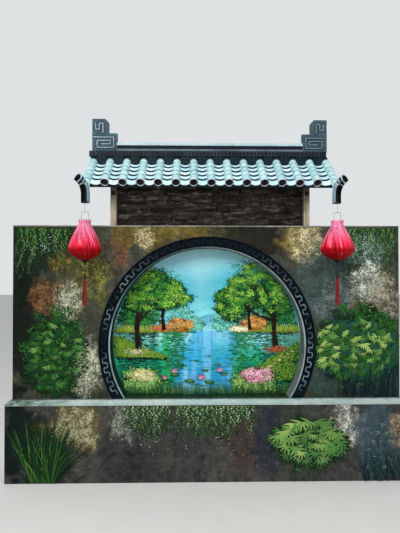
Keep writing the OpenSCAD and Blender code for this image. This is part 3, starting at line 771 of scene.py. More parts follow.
def paint_bench():
    s = Strokes(BENCH_Y - PAINT_OFF, on_bench, SEEDS["bench"])
    top = COPING_LOW[2] - 0.006
    s.speckles(-1.14, 0.46, 0.19, 0.17, 240, 0.008, ["#6f6e54", "#a5a488"])
    s.speckles(-0.76, 0.50, 0.09, 0.13, 110, 0.009, LICHEN)
    s.speckles(1.20, 0.46, 0.12, 0.18, 190, 0.010, LICHEN)
    for x, height in ((-1.50, 0.58), (-1.42, 0.60), (-1.34, 0.54)):
        s.tuft(x, 0.006, height, 26, ["#0b2013", "#173a1c"], 1.2, 0.032)
        s.tuft(x, 0.006, height * 0.95, 16, ["#173c1c", "#2a5a26", "#4f7d32"], 1.0, 0.018)
    for start, end in ((-0.69, -0.34), (-0.26, 0.40)):
        s.curtain(start, end, 0.016, top, (0.08, 0.30), 0.024, ["#2a4a30", "#48704a", "#6c9464"], 0.010)
        s.curtain(start, end, 0.042, top, (0.06, 0.24), 0.024, ["#6c9654", "#a8bc88", "#c4ceb0"], 0.010)
    s.speckles(-0.48, 0.38, 0.16, 0.12, 26, 0.008, PETAL)
    s.speckles(0.08, 0.36, 0.30, 0.14, 44, 0.008, PETAL)
    for x, height, lean in ((0.74, 0.36, -0.10), (0.84, 0.42, 0.02), (0.92, 0.38, 0.12)):
        s.cane(x, 0.004, height, lean, 0.08, MID_LEAF, "#3c5a26")
    s.foliage(0.86, 0.36, 0.30, 0.18, 260, 0.080, [DARK_LEAF], 0.18, 0.3)
    s.palms(0.86, 0.36, 0.30, 0.20, 54, 0.085, ["#2c5232", "#44703c", "#6c9050"], 0.18)
    s.palms(0.87, 0.38, 0.27, 0.17, 34, 0.082, LIGHT_LEAF, 0.18)
    for x in (1.40, 1.47, 1.54):
        s.cane(x, 0.004, 0.50, 0.02, 0.055, ["#2a4644", "#5f7c74"], "#3a5648")
    s.grass(1.34, 1.72, 0.004, 0.34, 110, ["#0e2024", "#1f3a3a", "#3f5c56"], 0.1, 0.3)
    s.piece("painted_leaves_bench", paint, slot="plaster")


paint_wall()
paint_bench()

# Moon ring


def ring_point(radius, angle, y):
    return (radius * math.cos(angle), y, RING_Z + radius * math.sin(angle))


def ring_strip(pile, r0, r1, a0, a1, y0, y1):
    """A raised piece of a circle between two radii and two angles, from y0 out to y1."""
    steps = max(1, int(abs(a1 - a0) / math.radians(1.5)))
    soft = min(0.0015, (r1 - r0) / 3)
    rings = []
    for i in range(steps + 1):
        angle = a0 + (a1 - a0) * i / steps
        rings.append([
            ring_point(r0, angle, y0), ring_point(r0, angle, y1 + soft), ring_point(r0 + soft, angle, y1),
            ring_point(r1 - soft, angle, y1), ring_point(r1, angle, y1 + soft), ring_point(r1, angle, y0),
        ])
    pile.add(*loft(rings))


FRET_TURNS = 44
FRET_LINE = 0.009
FRET_HEIGHT = 0.0035
FRET_GAP = 0.010


def fret_paint():
    s = Shader("fret_paint", 0.75, 0.15)
    fine = s.noise(40, 4, 0.6)
    worn = s.level(s.noise(3.2, 4, 0.6), 0.38, 0.56)
    # The fret lines go dark towards the top of the ring.
    below_top = s.level(s.axis("Z"), RING_Z + 0.85, RING_Z + 0.50, 0.0, 1.0)
    base = s.mix(s.times(worn, below_top), "#0c161d", "#71868d")
    return s.grained(base, fine, 0.7, 1.25, 0.002, 0.4)


def ring_paint():
    s = Shader("ring_paint", 0.8, 0.04)
    fine = s.noise(26, 5, 0.65)
    base = s.ramp(s.noise(5, 4), (0.3, "#03080d"), (0.55, "#061017"), (0.75, "#0c1a20"))
    chips = s.level(s.cells(60), 0.5, 0.2, 0.0, 0.06)
    base = s.mix(chips, s.shaded(base, fine, 0.6, 1.5), "#3c4c54")
    return s.done(base, s.level(fine, 0.3, 0.7, 0.7, 0.9), s.bump(fine, 0.003, 0.4))


def key_fret():
    """The square waves in the ring's field, above the bench."""
    low = math.asin((COPING_TOP + FRET_GAP - RING_Z) / RING_OUTER)
    start, end = low, math.pi - low
    field = FACE_Y - RING_FIELD
    inner = RING_INNER + RING_BORDER_W + FRET_GAP
    outer = RING_OUTER - RING_BORDER_W - FRET_GAP
    turn = (end - start) / FRET_TURNS
    half = FRET_LINE / 2 / ((inner + outer) / 2)
    y1 = field - FRET_HEIGHT
    pile = Pile()
    for i in range(FRET_TURNS):
        a = start + i * turn
        middle = a + turn / 2
        ring_strip(pile, outer - FRET_LINE, outer, a - half, middle + half, field, y1)
        ring_strip(pile, inner, inner + FRET_LINE, middle - half, a + turn + half, field, y1)
        for angle in (a, middle):
            ring_strip(pile, inner, outer, angle - half, angle + half, field, y1)
    pile.piece("key_fret", fret_paint(), slot="ring_paint", smooth=40)


def reveal_paint():
    """Grey-beige on the right of the reveal, going to dark green on the left and at the foot."""
    s = Shader("reveal_paint", 0.85, 0.12)
    fine = s.noise(30, 5, 0.6)
    base = s.mottled(4, 4, "#56625f", "#858a84")
    # The dark left side and foot are painted shade, and the pale front edge is a painted highlight, as in
    # trompe-l'oeil paint.
    side = s.level(s.plus(s.axis("X"), s.times(fine, 0.3)), -0.15, 0.6)
    base = s.mix(side, s.ramp(fine, (0.3, "#0c1b14"), (0.7, "#1f3829")), base)
    worn = s.level(s.noise(6, 4, 0.6), 0.35, 0.6, 0.45, 1.0)
    rim = s.times(s.level(s.axis("Y"), FACE_Y - 0.012, FACE_Y - 0.017), worn)
    low = s.level(s.axis("Z"), RING_Z + 0.6, RING_Z + 0.1, 0.12, 1.0)
    base = s.mix(s.times(rim, low), base, "#93a5ab")
    return s.grained(base, fine, 0.8, 1.15, 0.003, 0.4)


key_fret()
dress(ring_paint(), "moon_ring")
dress(reveal_paint(), "reveal_lining")

# Mural


def in_mural(x, z):
    return (np.hypot(x, z - RING_Z) < MURAL_R - 0.004) & (z > COPING_TOP + 0.003)


WATER_Z = RING_Z + 0.11


def mural_ground():
    """Sky above and water below, in broad soft colours, under the strokes."""
    s = Shader("mural_ground", 0.75, 0.1)
    x, z = s.axis("X"), s.axis("Z")
    wisp = s.noise(1.0, 4, 0.55, s.stretched(2.0, 1, 4))
    height = s.plus(z, s.times(s.calc("SUBTRACT", wisp, 0.5), 0.35))
    # The sky pales towards its top: partly the mural's own colour, partly painted light against the shade
    # under the niche's top.
    sky = s.ramp(
        s.level(height, WATER_Z, RING_Z + MURAL_R),
        (0.0, "#8ce4ea"), (0.3, "#24acc0"), (0.6, "#38acc0"), (0.85, "#7cc6d2"), (1.0, "#98ccd8"),
    )
    glow = s.plus(s.calc("ABSOLUTE", s.plus(x, 0.06)), s.times(wisp, 0.5))
    sky = s.over(sky, "#bce4e8", glow, 0.50, 0.20, 0.28)
    water = s.ramp(
        s.level(z, COPING_TOP, WATER_Z),
        (0.0, "#0e6248"), (0.35, "#169272"), (0.65, "#2ab49c"), (0.85, "#60ccc0"), (1.0, "#a8ecec"),
    )
    bands = s.noise(1.0, 3, 0.5, s.stretched(5.5, 1, 0.9))
    side = s.plus(s.calc("ABSOLUTE", x), s.times(s.calc("SUBTRACT", bands, 0.5), 1.8))
    water = s.over(water, "#2f9cdc", side, 0.40, 0.05, 0.9)
    water = s.over(water, "#9ce4f4", side, 0.14, -0.10, 0.7)
    water = s.over(water, "#10603a", side, 0.42, 0.70, 0.7)
    green = s.noise(1.0, 3, 0.5, s.stretched(7, 1, 0.7))
    water = s.over(water, "#26a45c", green, 0.54, 0.66, 0.85)
    ripple = s.noise(1.0, 4, 0.6, s.stretched(4, 1, 40))
    water = s.shaded(water, ripple, 0.86, 1.14)
    base = s.over(water, sky, z, WATER_Z - 0.004, WATER_Z + 0.004)
    brushed = s.noise(1.0, 4, 0.6, s.stretched(12, 1, 30))
    base = s.shaded(base, brushed, 0.93, 1.07)
    return s.done(base, normal=s.bump(s.noise(60, 3), 0.001, 0.2))


def hill(strokes, z, height, peaks, top, foot):
    """A range of hills that fades towards its foot, from one side of the mural to the other."""
    x = np.linspace(-MURAL_R, MURAL_R, 160)
    ridge = np.zeros_like(x)
    for place, rise, width in peaks:
        ridge = np.maximum(ridge, rise * np.exp(-((x - place) / width) ** 2))
    random = np.random.default_rng(SEEDS["hills"])
    for waves in (9, 21, 47):
        ridge += height * 0.22 / waves * 4 * np.sin(x * waves + random.uniform(0, 6))
    crest = z + height * np.clip(ridge, 0.02, None)
    reach = RING_Z + np.sqrt(np.clip((MURAL_R - 0.004) ** 2 - x ** 2, 0, None))
    crest = np.minimum(crest, reach)
    keep = reach > z
    x, crest = x[keep], crest[keep]
    strokes.y -= strokes.LAYER
    points, tints = [], []
    for px, pz in zip(x, crest):
        points += [(px, strokes.y, z), (px, strokes.y, max(z, pz))]
        tints += [colour(foot), colour(top)]
    faces = [(2 * i, 2 * i + 2, 2 * i + 3, 2 * i + 1) for i in range(len(x) - 1)]
    strokes.add(points, faces, np.array(tints))


BARK = ["#120e0a", "#2c2118"]
SHADE_GREEN = ["#04180f", "#08281a"]
AUTUMN = [["#2a1209", "#4f2410"], ["#7a3c18", "#a85c26"], ["#c08038", "#d6a85c"]]


def trunk(strokes, route, width):
    """A tree's trunk or branch along a route of points, thinner towards its end."""
    route = np.array(route)
    for i in range(len(route) - 1):
        a, b = route[i], route[i + 1]
        length = np.hypot(*(b - a))
        wide = width * (1 - 0.7 * i / max(1, len(route) - 1))
        angle = math.atan2(b[1] - a[1], b[0] - a[0])
        strokes.lay(blade(0, 3), a[0], a[1], length * 1.7, wide, angle, strokes.pick(BARK, 1))


def mural():
    s = Strokes(MURAL_Y - 2 * PAINT_OFF, in_mural, SEEDS["mural"])
    shore = WATER_Z
    peaks = [(-0.50, 1.0, 0.30), (0.02, 0.42, 0.22), (0.56, 0.95, 0.34)]
    hill(s, shore, 0.34, peaks, "#4fa4bc", "#8fd4e0")
    haze = [["#0f5860", "#17706f"], ["#1f8a86", "#3fa096"], ["#56b4a4", "#86ccb4"]]
    for x, rise, half in (
        (-0.36, 0.30, 0.16), (-0.24, 0.14, 0.10), (-0.12, 0.06, 0.08), (0.14, 0.08, 0.09),
        (0.24, 0.20, 0.13), (0.38, 0.36, 0.18),
    ):
        s.crown(x, shore + rise, half, max(rise, 0.06), 1500, 0.016, haze)
    woods = [SHADE_GREEN, ["#0c4020", "#14562a"], ["#1f6a2c", "#3a8434"]]
    for x in (-0.78, -0.66, -0.54, 0.54, 0.66, 0.78):
        s.crown(x, shore + 0.14, 0.13, 0.17, 1500, 0.017, woods)
    meadow = ["#2c661a", "#6c9a24", "#a9bd38", "#cfd468"]
    for x0, x1 in ((-0.86, -0.16), (0.24, 0.86)):
        s.grass(x0, x1, shore - 0.012, 0.075, 1100, meadow)
    for x, rise, half_x, half_z, count, size, palettes in (
        (-0.24, 0.060, 0.11, 0.055, 1300, 0.013, AUTUMN), (0.44, 0.070, 0.12, 0.065, 1400, 0.013, AUTUMN),
        (-0.42, 0.03, 0.08, 0.025, 500, 0.012, [["#6a1c10", "#a8402a"], ["#c8603c", "#dc9468"]]),
        (0.30, 0.02, 0.08, 0.022, 500, 0.012, [["#8a8a60", "#c4c294"], ["#dcd8b0", "#f0ecd0"]]),
    ):
        s.crown(x, shore + rise, half_x, half_z, count, size, palettes)
    for x0, x1 in ((-0.86, -0.10), (0.18, 0.86)):
        s.grass(x0, x1, shore - 0.020, 0.022, 500, ["#06180c", "#14401c", "#2c661a"])
    ripples(s)
    bank(s, -0.86, -0.42, RING_Z - 0.14, RING_Z + 0.06)
    bank(s, 0.86, 0.30, RING_Z - 0.36, RING_Z + 0.02)
    for x, z, scale in (
        (0.40, shore + 0.01, 0.80), (-0.40, shore + 0.01, 0.86), (-0.63, RING_Z - 0.08, 1.42),
        (0.64, RING_Z - 0.06, 1.30),
    ):
        big_tree(s, x, z, scale)
    stepping_stones(s)
    lotus(s)
    foreground(s)
    s.piece("mural_strokes", painted("mural_paint", 0.7), slot="mural_paint")


def ripples(s):
    """Thin level strokes on the water, and the banks' reflections."""
    r = s.random
    count = 520
    z = r.uniform(COPING_TOP + 0.02, WATER_Z - 0.02, count)
    x = r.uniform(-0.8, 0.8, count)
    near = (WATER_Z - z) / (WATER_Z - COPING_TOP)
    length = (0.03 + 0.07 * near) * r.uniform(0.5, 1.5, count)
    shades = s.pick(["#0a4a3c", "#128060", "#3fb0a8", "#a4dce4"], count)
    s.lay(DAB, x, z, length, length * 0.035, r.normal(0, 0.02, count), shades)
    for x, wide, palette in (
        (-0.62, 0.11, ["#052015", "#0b3d20"]), (0.56, 0.11, ["#052015", "#0f4a28"]),
        (-0.30, 0.05, ["#0f5a34", "#2a8a4c"]), (0.30, 0.06, ["#0f5a34", "#2f9450"]),
    ):
        part = 420
        px = x + r.normal(0, wide, part)
        pz = WATER_Z - 0.02 - r.random(part) ** 1.3 * 0.34
        length = 0.034 * r.uniform(0.5, 1.6, part)
        s.lay(DAB, px, pz, length, 0.0045, r.normal(0, 0.02, part), s.pick(palette, part))


def bank(s, x0, x1, z_low, z_high):
    """A grassy bank that comes in from the side at x0 and runs down to the water at x1."""
    r = s.random
    layers = (
        (["#03120a", "#08251a"], 0.016), (["#0d3318", "#1f5a1f"], 0.004), (["#3f7a22", "#86a038"], -0.006),
    )
    for palette, drop in layers:
        count = 1500
        t = r.random(count)
        x = x0 + (x1 - x0) * t + r.normal(0, 0.02, count)
        z = z_low - drop + (z_high - z_low) * (1 - t) * r.random(count)
        s.lay(TOUCH, x, z, 0.030 * r.uniform(0.4, 1.2, count), 0.010, r.normal(0.9, 0.6, count),
              s.pick(palette, count, 0.2))


def big_tree(s, x, z, scale):
    """A spreading tree with its foot at (x, z)."""
    stem = ((0, 0), (-0.015, 0.14), (-0.005, 0.28), (0.01, 0.44))
    at = [(x + dx * scale, z + dz * scale) for dx, dz in stem]
    layers = [
        SHADE_GREEN, ["#0b3d20", "#14562a"], ["#1c6426", "#34822c"], ["#1c6426", "#4c922e"],
        ["#62a034", "#96bf4a"],
    ]
    clumps = (
        (-0.26, 0.38, 0.13, 1500), (-0.10, 0.53, 0.15, 1800), (0.07, 0.45, 0.14, 1600),
        (0.19, 0.34, 0.11, 1100), (-0.30, 0.26, 0.09, 700), (0.02, 0.32, 0.11, 800),
    )
    for dx, dz, half, count in clumps[::2]:
        s.crown(x + dx * scale, z + dz * scale, half * scale, half * 0.62 * scale, count, 0.016, layers[:2])
    trunk(s, at, 0.046 * scale)
    for dx, dz in ((-0.20, 0.42), (-0.12, 0.52), (0.10, 0.46), (0.17, 0.38), (-0.24, 0.32)):
        mid = (x + dx * 0.5 * scale, z + dz * 0.75 * scale)
        trunk(s, [(x, z + 0.20 * scale), mid, (x + dx * scale, z + dz * scale)], 0.018 * scale)
    for dx, dz, half, count in clumps:
        s.crown(x + dx * scale, z + dz * scale, half * scale, half * 0.66 * scale, count, 0.0145, layers)


def stepping_stones(s):
    for i in range(9):
        u = i / 8
        size = 0.022 + 0.045 * u
        s.lay(DAB, 0.80 - 0.34 * u - size / 2, RING_Z - 0.08 - 0.22 * u, size, size * 0.42, 0.05,
              s.pick(["#a08a64", "#cbb890"], 1))
    s.speckles(0.64, RING_Z - 0.06, 0.12, 0.04, 240, 0.010, ["#8a3420", "#b8643a"])
    s.speckles(-0.66, RING_Z - 0.08, 0.10, 0.03, 200, 0.010, ["#a5a070", "#d0cba0"])


def lotus(s):
    """Round pads and pink flowers on the water."""
    r = s.random
    pads = ("#0b3a20", "#236a30", "#5f9038")
    for x, z, size in (
        (-0.30, 0.86, 0.09), (-0.16, 0.80, 0.11), (-0.38, 0.79, 0.12), (0.02, 0.79, 0.10),
        (-0.02, 0.90, 0.07), (-0.46, 0.90, 0.08), (0.16, 0.86, 0.08), (-0.24, 0.96, 0.06),
        (-0.10, 0.99, 0.05), (0.24, 0.80, 0.09), (0.02, 1.03, 0.04), (-0.30, 1.06, 0.04),
        (0.10, 0.95, 0.06), (-0.36, 0.99, 0.05),
    ):
        for k, shade in enumerate(pads):
            wide = size * (1 - 0.25 * k)
            s.lay(DAB, x - wide / 2, z, wide, wide * 0.30, r.normal(0, 0.06), np.array([colour(shade)]))
    for x, z, size in ((-0.30, 0.88, 0.04), (-0.05, 0.82, 0.045), (0.12, 0.89, 0.034), (-0.40, 0.82, 0.04)):
        angles = np.linspace(0.25, math.pi - 0.25, 7)
        for reach, palette in ((1.0, ["#9c2f54", "#c05a7c"]), (0.7, ["#d08aa0", "#e8bcc8"])):
            s.lay(LEAF, x, z, size * reach, size * 0.36, angles, s.pick(palette, 7))


def foreground(s):
    """Bushes, flowers and grass along the foot."""
    bush = [["#081e13", "#123c24"], ["#205c34", "#3c8440"], ["#6cac5c", "#a8c46c"]]
    rose = [["#3a0c20", "#6a1f3a"], ["#a03c5c", "#c4688a"], ["#dc98b0", "#f0c4d0"]]
    s.crown(0.46, 0.80, 0.22, 0.12, 2600, 0.017, bush)
    s.crown(0.47, 0.85, 0.15, 0.07, 1500, 0.014, rose)
    s.crown(-0.60, 0.80, 0.20, 0.11, 2300, 0.017, bush)
    s.crown(-0.60, 0.86, 0.12, 0.05, 900, 0.013, [["#6c6434", "#a09850"], ["#c8c080", "#ece4b8"]])
    s.grass(-0.76, 0.76, COPING_TOP + 0.004, 0.11, 1500, ["#0e281a", "#22542e", "#4c8c44", "#9cbe60"])
    s.grass(-0.72, 0.72, COPING_TOP + 0.003, 0.05, 900, ["#081c12", "#163e26", "#387040"])


dress(mural_ground(), "mural_panel")
mural()

# Roof tiles


def tile_glaze(name, low, high, joint):
    """Pale glaze. A tile's tint holds its own lightness in red, and in green painted shade under the tile
    above and at a barrel's lower end.
    """
    s = Shader(name, 0.35, 0.2)
    fine = s.noise(45, 4, 0.6)
    parts = s.tint_parts()
    base = s.ramp(parts[0], (0.0, low), (1.0, high))
    base = s.shaded(base, fine, 0.84, 1.12)
    dirt = s.level(s.noise(9, 5, 0.7), 0.55, 0.70, 0.0, 0.45)
    base = s.mix(dirt, base, "#4d6468")
    base = s.mix(parts[1], base, joint)
    return s.done(base, s.level(fine, 0.3, 0.7, 0.24, 0.45), s.bump(fine, 0.0015, 0.3))


def dark_glaze(name, light, dark):
    s = Shader(name, 0.6, 0.12)
    fine = s.noise(40, 5, 0.65)
    base = s.mottled(7, 4, dark, light)
    base = s.shaded(base, fine, 0.7, 1.35)
    return s.done(base, s.level(fine, 0.3, 0.7, 0.42, 0.66), s.bump(fine, 0.002, 0.4))


def slope_point(x, u, w, side):
    """A point of the roof: u down the slope from the saddle, w square to it. The front is side -1."""
    y = SADDLE_Y + u * math.cos(SLOPE) + w * math.sin(SLOPE)
    ridge_z = EAVE_Z + (EAVE_Y - SADDLE_Y) * math.tan(SLOPE)
    return (ROOF_X + x, side * y, ridge_z - u * math.sin(SLOPE) + w * math.cos(SLOPE))


def barrel_outline(outer, inner):
    """The closed outline of a barrel tile's section, as across and up."""
    steps = 12
    arc = [math.pi * k / steps for k in range(steps + 1)]
    over = [(outer * math.cos(a), outer * math.sin(a)) for a in arc]
    under = [(inner * math.cos(a), inner * math.sin(a)) for a in arc[::-1]]
    return [(outer, -SKIRT), *over, (-outer, -SKIRT), (-inner, -SKIRT), *under, (inner, -SKIRT)]


OVERLAP = 0.012
JOINT = 0.016


def laid(pile, outlines, side, lightness, ends=()):
    """Adds one tile from its outlines: each is u, the painted shade at the joint and points across and up.

    The points of a last outline that isn't square to the slope can follow as ends.
    """
    rings, tints = [], []
    for u, joint, outline in outlines:
        rings.append([slope_point(across, u, up, side) for across, up in outline])
        tints += [(lightness, joint, 0)] * len(outline)
    if ends:
        rings.append(ends)
        tints += [(lightness, 0, 0)] * len(ends)
    points, faces = loft(rings)
    pile.add(points, faces, np.array(tints))


def barrel_tile(pile, x, u0, u1, side, random):
    """One barrel tile from u0 to u1, whose lower end stands out over the next one."""
    lift, shift = random.normal(0, 0.0006, 2)
    outlines = []
    # The joint column is painted shade: dark at the upper end under the tile above, and partly dark at the
    # lower end.
    for u, out, joint in (
        (u0, -0.0010, 1), (u0 + JOINT, -0.0008, 1), (u0 + JOINT + 0.002, -0.0008, 0),
        (u1 - 0.010, -0.0002, 0), (u1 - 0.008, 0.0003, 0), (u1 - 0.001, 0.0005, 0), (u1, -0.0002, 0.6),
    ):
        outline = barrel_outline(BARREL_R + out, BARREL_R + out - TILE_T)
        outlines.append((u, joint, [(x + shift + across, up + lift) for across, up in outline]))
    laid(pile, outlines, side, random.random())


PAN_HALF = PITCH / 2 - BARREL_R + 0.001
PAN_SAG = TROUGH - SKIRT - 0.0003
PAN_LIFT = 0.013
PAN_T = 0.006
LIP = 0.015


def pan_outline(x, lift):
    """The closed outline of a pan tile's section between two barrels."""
    steps = 10
    radius = (PAN_HALF ** 2 + PAN_SAG ** 2) / (2 * PAN_SAG)
    across = [PAN_HALF * (2 * k / steps - 1) for k in range(steps + 1)]
    top = [(x + v, radius - math.sqrt(radius ** 2 - v ** 2) - TROUGH + lift) for v in across]
    return top + [(v, w - PAN_T) for v, w in top[::-1]]


def pan_tile(pile, x, u0, u1, side, lip, random):
    """One pan tile, whose lower edge lies high over the next one. A lip hangs from the last one."""
    tilt = random.normal(0, 0.0006)
    shade_end = u0 + JOINT + 0.018
    outlines = []
    # The joint column is painted shade on the upper end, up to shade_end, under the tile above.
    for u, joint in ((u0, 1), (shade_end, 1), (shade_end + 0.005, 0), (u1 - 0.0015, 0), (u1, 0)):
        lift = PAN_LIFT * (u - u0) / (u1 - u0) + tilt - (0.001 if u == u1 else 0)
        outlines.append((u, joint, pan_outline(x, lift)))
    if lip:
        down = [(across, up - lip * math.cos(SLOPE)) for across, up in outlines[-1][2]]
        outlines.append((u1 + lip * math.sin(SLOPE), 0, down))
    laid(pile, outlines, side, random.random())


def horn_distance(point, end):
    """How far a point lies from the middle line of the horn at one end of the roof."""
    x = end * (point[0] - ROOF_X) - VERGE_X
    y = point[1] + HORN_Y
    across = x * math.cos(HORN_TURN) + y * math.sin(HORN_TURN)
    deep = y * math.cos(HORN_TURN) - x * math.sin(HORN_TURN)
    rise = point[2] - HORN_Z - HORN_L
    if rise > 0:
        deep = math.hypot(deep + HORN_BEND_R, rise) - HORN_BEND_R
    return math.hypot(across, deep)


HORN_BITE = 0.003
END_STEP = 0.001


def verge_tile(pile, row, start, lightness):
    """The last tile of a verge row, which runs on into the back of the horn."""
    radius = BARREL_R - 0.0004
    outline = [(row * PITCH + across, up) for across, up in barrel_outline(radius, radius - TILE_T)]
    clear = start + JOINT + 0.004
    ends = []
    for across, up in outline:
        u = clear
        point = slope_point(across, u, up, -1)
        while horn_distance(point, np.sign(row)) > HORN_R - HORN_BITE and point[1] > 0.002 - HORN_Y:
            u += END_STEP
            point = slope_point(across, u, up, -1)
        ends.append(point)
    outlines = [(start, 1, outline), (start + JOINT, 1, outline), (clear, 0, outline)]
    laid(pile, outlines, -1, lightness, ends)


def roof_tiles(name, side, courses, barrel_glaze, pan_glaze):
    """The tiles of one slope, course by course, as two pieces that take the CAD's channels' place."""
    random = np.random.default_rng(SEEDS[name + " tiles"])
    barrels, pans = Pile(), Pile()
    for row in range(-SIDE_ROWS, SIDE_ROWS + 1):
        for k in range(courses):
            start = k * COURSE_L - (OVERLAP if k else 0)
            barrel_tile(barrels, row * PITCH, start, (k + 1) * COURSE_L, side, random)
        if side < 0 and abs(row) == SIDE_ROWS:
            verge_tile(barrels, row, courses * COURSE_L - OVERLAP, random.random())
    for row in range(-SIDE_ROWS, SIDE_ROWS):
        for k in range(courses):
            start = k * COURSE_L - (OVERLAP if k else 0)
            lip = LIP if k == courses - 1 else 0
            pan_tile(pans, (row + 0.5) * PITCH, start, (k + 1) * COURSE_L, side, lip, random)
    replaced = (name + "_barrel_tiles",)
    barrels.piece(name + "_barrels", barrel_glaze, slot="tile_glaze", smooth=40, replaces=replaced)
    pans.piece(name + "_pans", pan_glaze, slot="tile_glaze", smooth=40, replaces=(name + "_pan_tiles",))


def turned(profile, steps, place):
    """A solid of revolution. The profile's points are radius and height, and place sets each in space."""
    rings = []
    for k in range(steps):
        angle = 2 * math.pi * k / steps
        rings.append([place(r * math.cos(angle), r * math.sin(angle), h) for r, h in profile])
    points = np.array(rings).reshape(-1, 3)
    size = len(profile)
    faces = []
    for k in range(steps):
        n = (k + 1) % steps
        for i in range(size - 1):
            faces.append((k * size + i, k * size + i + 1, n * size + i + 1, n * size + i))
    return points, faces


def disc_rim_highlight_paint():
    """A glaze with a painted highlight: pale where the rim looks up, and dark elsewhere."""
    s = Shader("disc_rim", 0.5, 0.3)
    fine = s.noise(60, 4, 0.6)
    up = s.level(s.facing("Z"), 0.1, 0.6)
    base = s.mix(up, "#8f989e", "#d2cace")
    return s.grained(base, fine, 0.75, 1.2, 0.0015, 0.3)


def eave_discs():
    """The round tile ends at the eave: a thin rim and a dark sunk face with rings on it."""
    rims, faces = Pile(), Pile()
    rim = [(0.031, 0.003), (0.031, 0.009), (0.033, 0.0118), (0.0355, 0.012), (0.0375, 0.010), (0.038, 0.0)]
    sunk = [(0.0, 0.0055), (0.006, 0.006), (0.008, 0.004), (0.016, 0.004), (0.018, 0.006), (0.020, 0.006),
            (0.022, 0.004), (0.032, 0.004)]
    places = [(-1, row, SLOPE_L) for row in range(1 - SIDE_ROWS, SIDE_ROWS)]
    places += [(1, row, BACK_L) for row in range(-SIDE_ROWS, SIDE_ROWS + 1)]
    for side, row, length in places:
        def place(across, up, out, side=side, row=row, length=length):
            return slope_point(row * PITCH + across, length + out, up, side)
        rims.add(*turned(rim, 36, place))
        faces.add(*turned(sunk, 36, place))
    rims.piece("eave_disc_rims", disc_rim_highlight_paint(), slot="tile_glaze", smooth=50)
    face_glaze = dark_glaze("disc_face", "#1f1926", "#0e0a12")
    faces.piece("eave_disc_faces", face_glaze, slot="dark_glaze", smooth=50, replaces=("eave_discs",))


barrel_glaze = tile_glaze("barrel_glaze", "#a2ccd1", "#bbe0e1", "#3c565e")
pan_glaze = tile_glaze("pan_glaze", "#b8dde5", "#d6edf3", "#0a161b")
roof_tiles("front", -1, COURSES, barrel_glaze, pan_glaze)
roof_tiles("back", 1, BACK_COURSES, barrel_glaze, pan_glaze)
eave_discs()

# Ridge

FILLET_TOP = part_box("ridge_cap")[0][2] + 0.019
WEB_TOP = FILLET_TOP + 0.034


def cap_glaze():
    """Dark web between a pale cap and a grey fillet."""
    s = Shader("cap_glaze", 0.6, 0.12)
    fine = s.noise(40, 4, 0.6)
    z = s.axis("Z")
    pale = s.mottled(5, 4, "#97adb2", "#b4c8cc")
    # Painted shade on the cap's faces that look down.
    pale = s.over(pale, "#3c4c54", s.facing("Z"), -0.1, -0.5)
    fillet = s.mottled(5, 4, "#3f4e57", "#67767f")
    base = s.over(fillet, "#07121c", z, FILLET_TOP + 0.001, FILLET_TOP + 0.003)
    base = s.over(base, pale, z, WEB_TOP - 0.003, WEB_TOP - 0.001)
    return s.grained(base, fine, 0.9, 1.08, 0.002, 0.3)


def ornament_glaze(name, low, high):
    """Blue grey glaze of the ridge's end blocks."""
    s = Shader(name, 0.55, 0.15)
    fine = s.noise(34, 5, 0.65)
    base = s.mottled(7, 4, low, high)
    return s.grained(base, fine, 0.7, 1.25, 0.003, 0.5)


def line_glaze():
    """The blocks' raised lines, paler where their tint is light, over painted shadow strips."""
    s = Shader("ornament_lines", 0.55, 0.15)
    fine = s.noise(34, 5, 0.65)
    raised = s.tint_parts()[0]
    lines = s.mottled(9, 4, "#7d929a", "#a3b3b9")
    base = s.mix(raised, "#0e1c24", lines)
    return s.grained(base, fine, 0.7, 1.25, 0.003, 0.5)


BLOCK_END = 1.098
BLOCK_LOW, BLOCK_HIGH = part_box("ridge_ornaments")
BLOCK_Y = BLOCK_HIGH[1]
LINE_W = 0.010
SHADOW_STRIP_W = 0.006
LINE_HEIGHT = 0.005
SHADOW_STRIP_HEIGHT = 0.001
# The lines' corners: distance from the block's outer end, and height over the lower block's foot
LOWER_SPIRAL = [
    (0.012, 0.132), (0.200, 0.132), (0.200, 0.036), (0.046, 0.036), (0.046, 0.101), (0.168, 0.101),
    (0.168, 0.068), (0.082, 0.068),
]
UPPER_SPIRAL = [
    (0.100, 0.172), (0.100, 0.262), (0.066, 0.262), (0.066, 0.206), (0.032, 0.206), (0.032, 0.262),
]


def block_lines(pile, corners, end, face, wide, height, tint):
    """Raised bars from corner to corner on one face of the block at one end of the ridge."""
    corners = np.array(corners)
    deep = sorted((face * BLOCK_Y, face * (BLOCK_Y + height)))
    for i, (start, stop) in enumerate(zip(corners, corners[1:])):
        reach = np.sign(stop - start) * wide / 2
        start = start + (reach if i else -reach)
        side = np.where(reach == 0, wide / 2, 0)
        low = np.minimum(start, stop + reach) - side
        high = np.maximum(start, stop + reach) + side
        across = sorted(ROOF_X + end * (BLOCK_END - v) for v in (low[0], high[0]))
        corner_low = (across[0], deep[0], BLOCK_LOW[2] + low[1])
        corner_high = (across[1], deep[1], BLOCK_LOW[2] + high[1])
        pile.add(*brick(corner_low, corner_high, min(0.0012, height / 3)), tint)


def ornament_relief():
    """Square spirals on both faces of the ridge's end blocks, over painted shadow strips, darker on the
    right.
    """
    pile = Pile()
    for end, shade in ((-1, 1.0), (1, 0.55)):
        for face in (-1, 1):
            for corners in (LOWER_SPIRAL, UPPER_SPIRAL):
                # Under each line, a wider low strip painted dark as its shadow.
                wide = LINE_W + 2 * SHADOW_STRIP_W
                block_lines(pile, corners, end, face, wide, SHADOW_STRIP_HEIGHT, (0, 0, 0))
                block_lines(pile, corners, end, face, LINE_W, LINE_HEIGHT, (shade, shade, shade))
    pile.piece("ornament_relief", line_glaze(), slot="ornament_glaze")


BAND_LOW, BAND_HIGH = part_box("ridge_band")


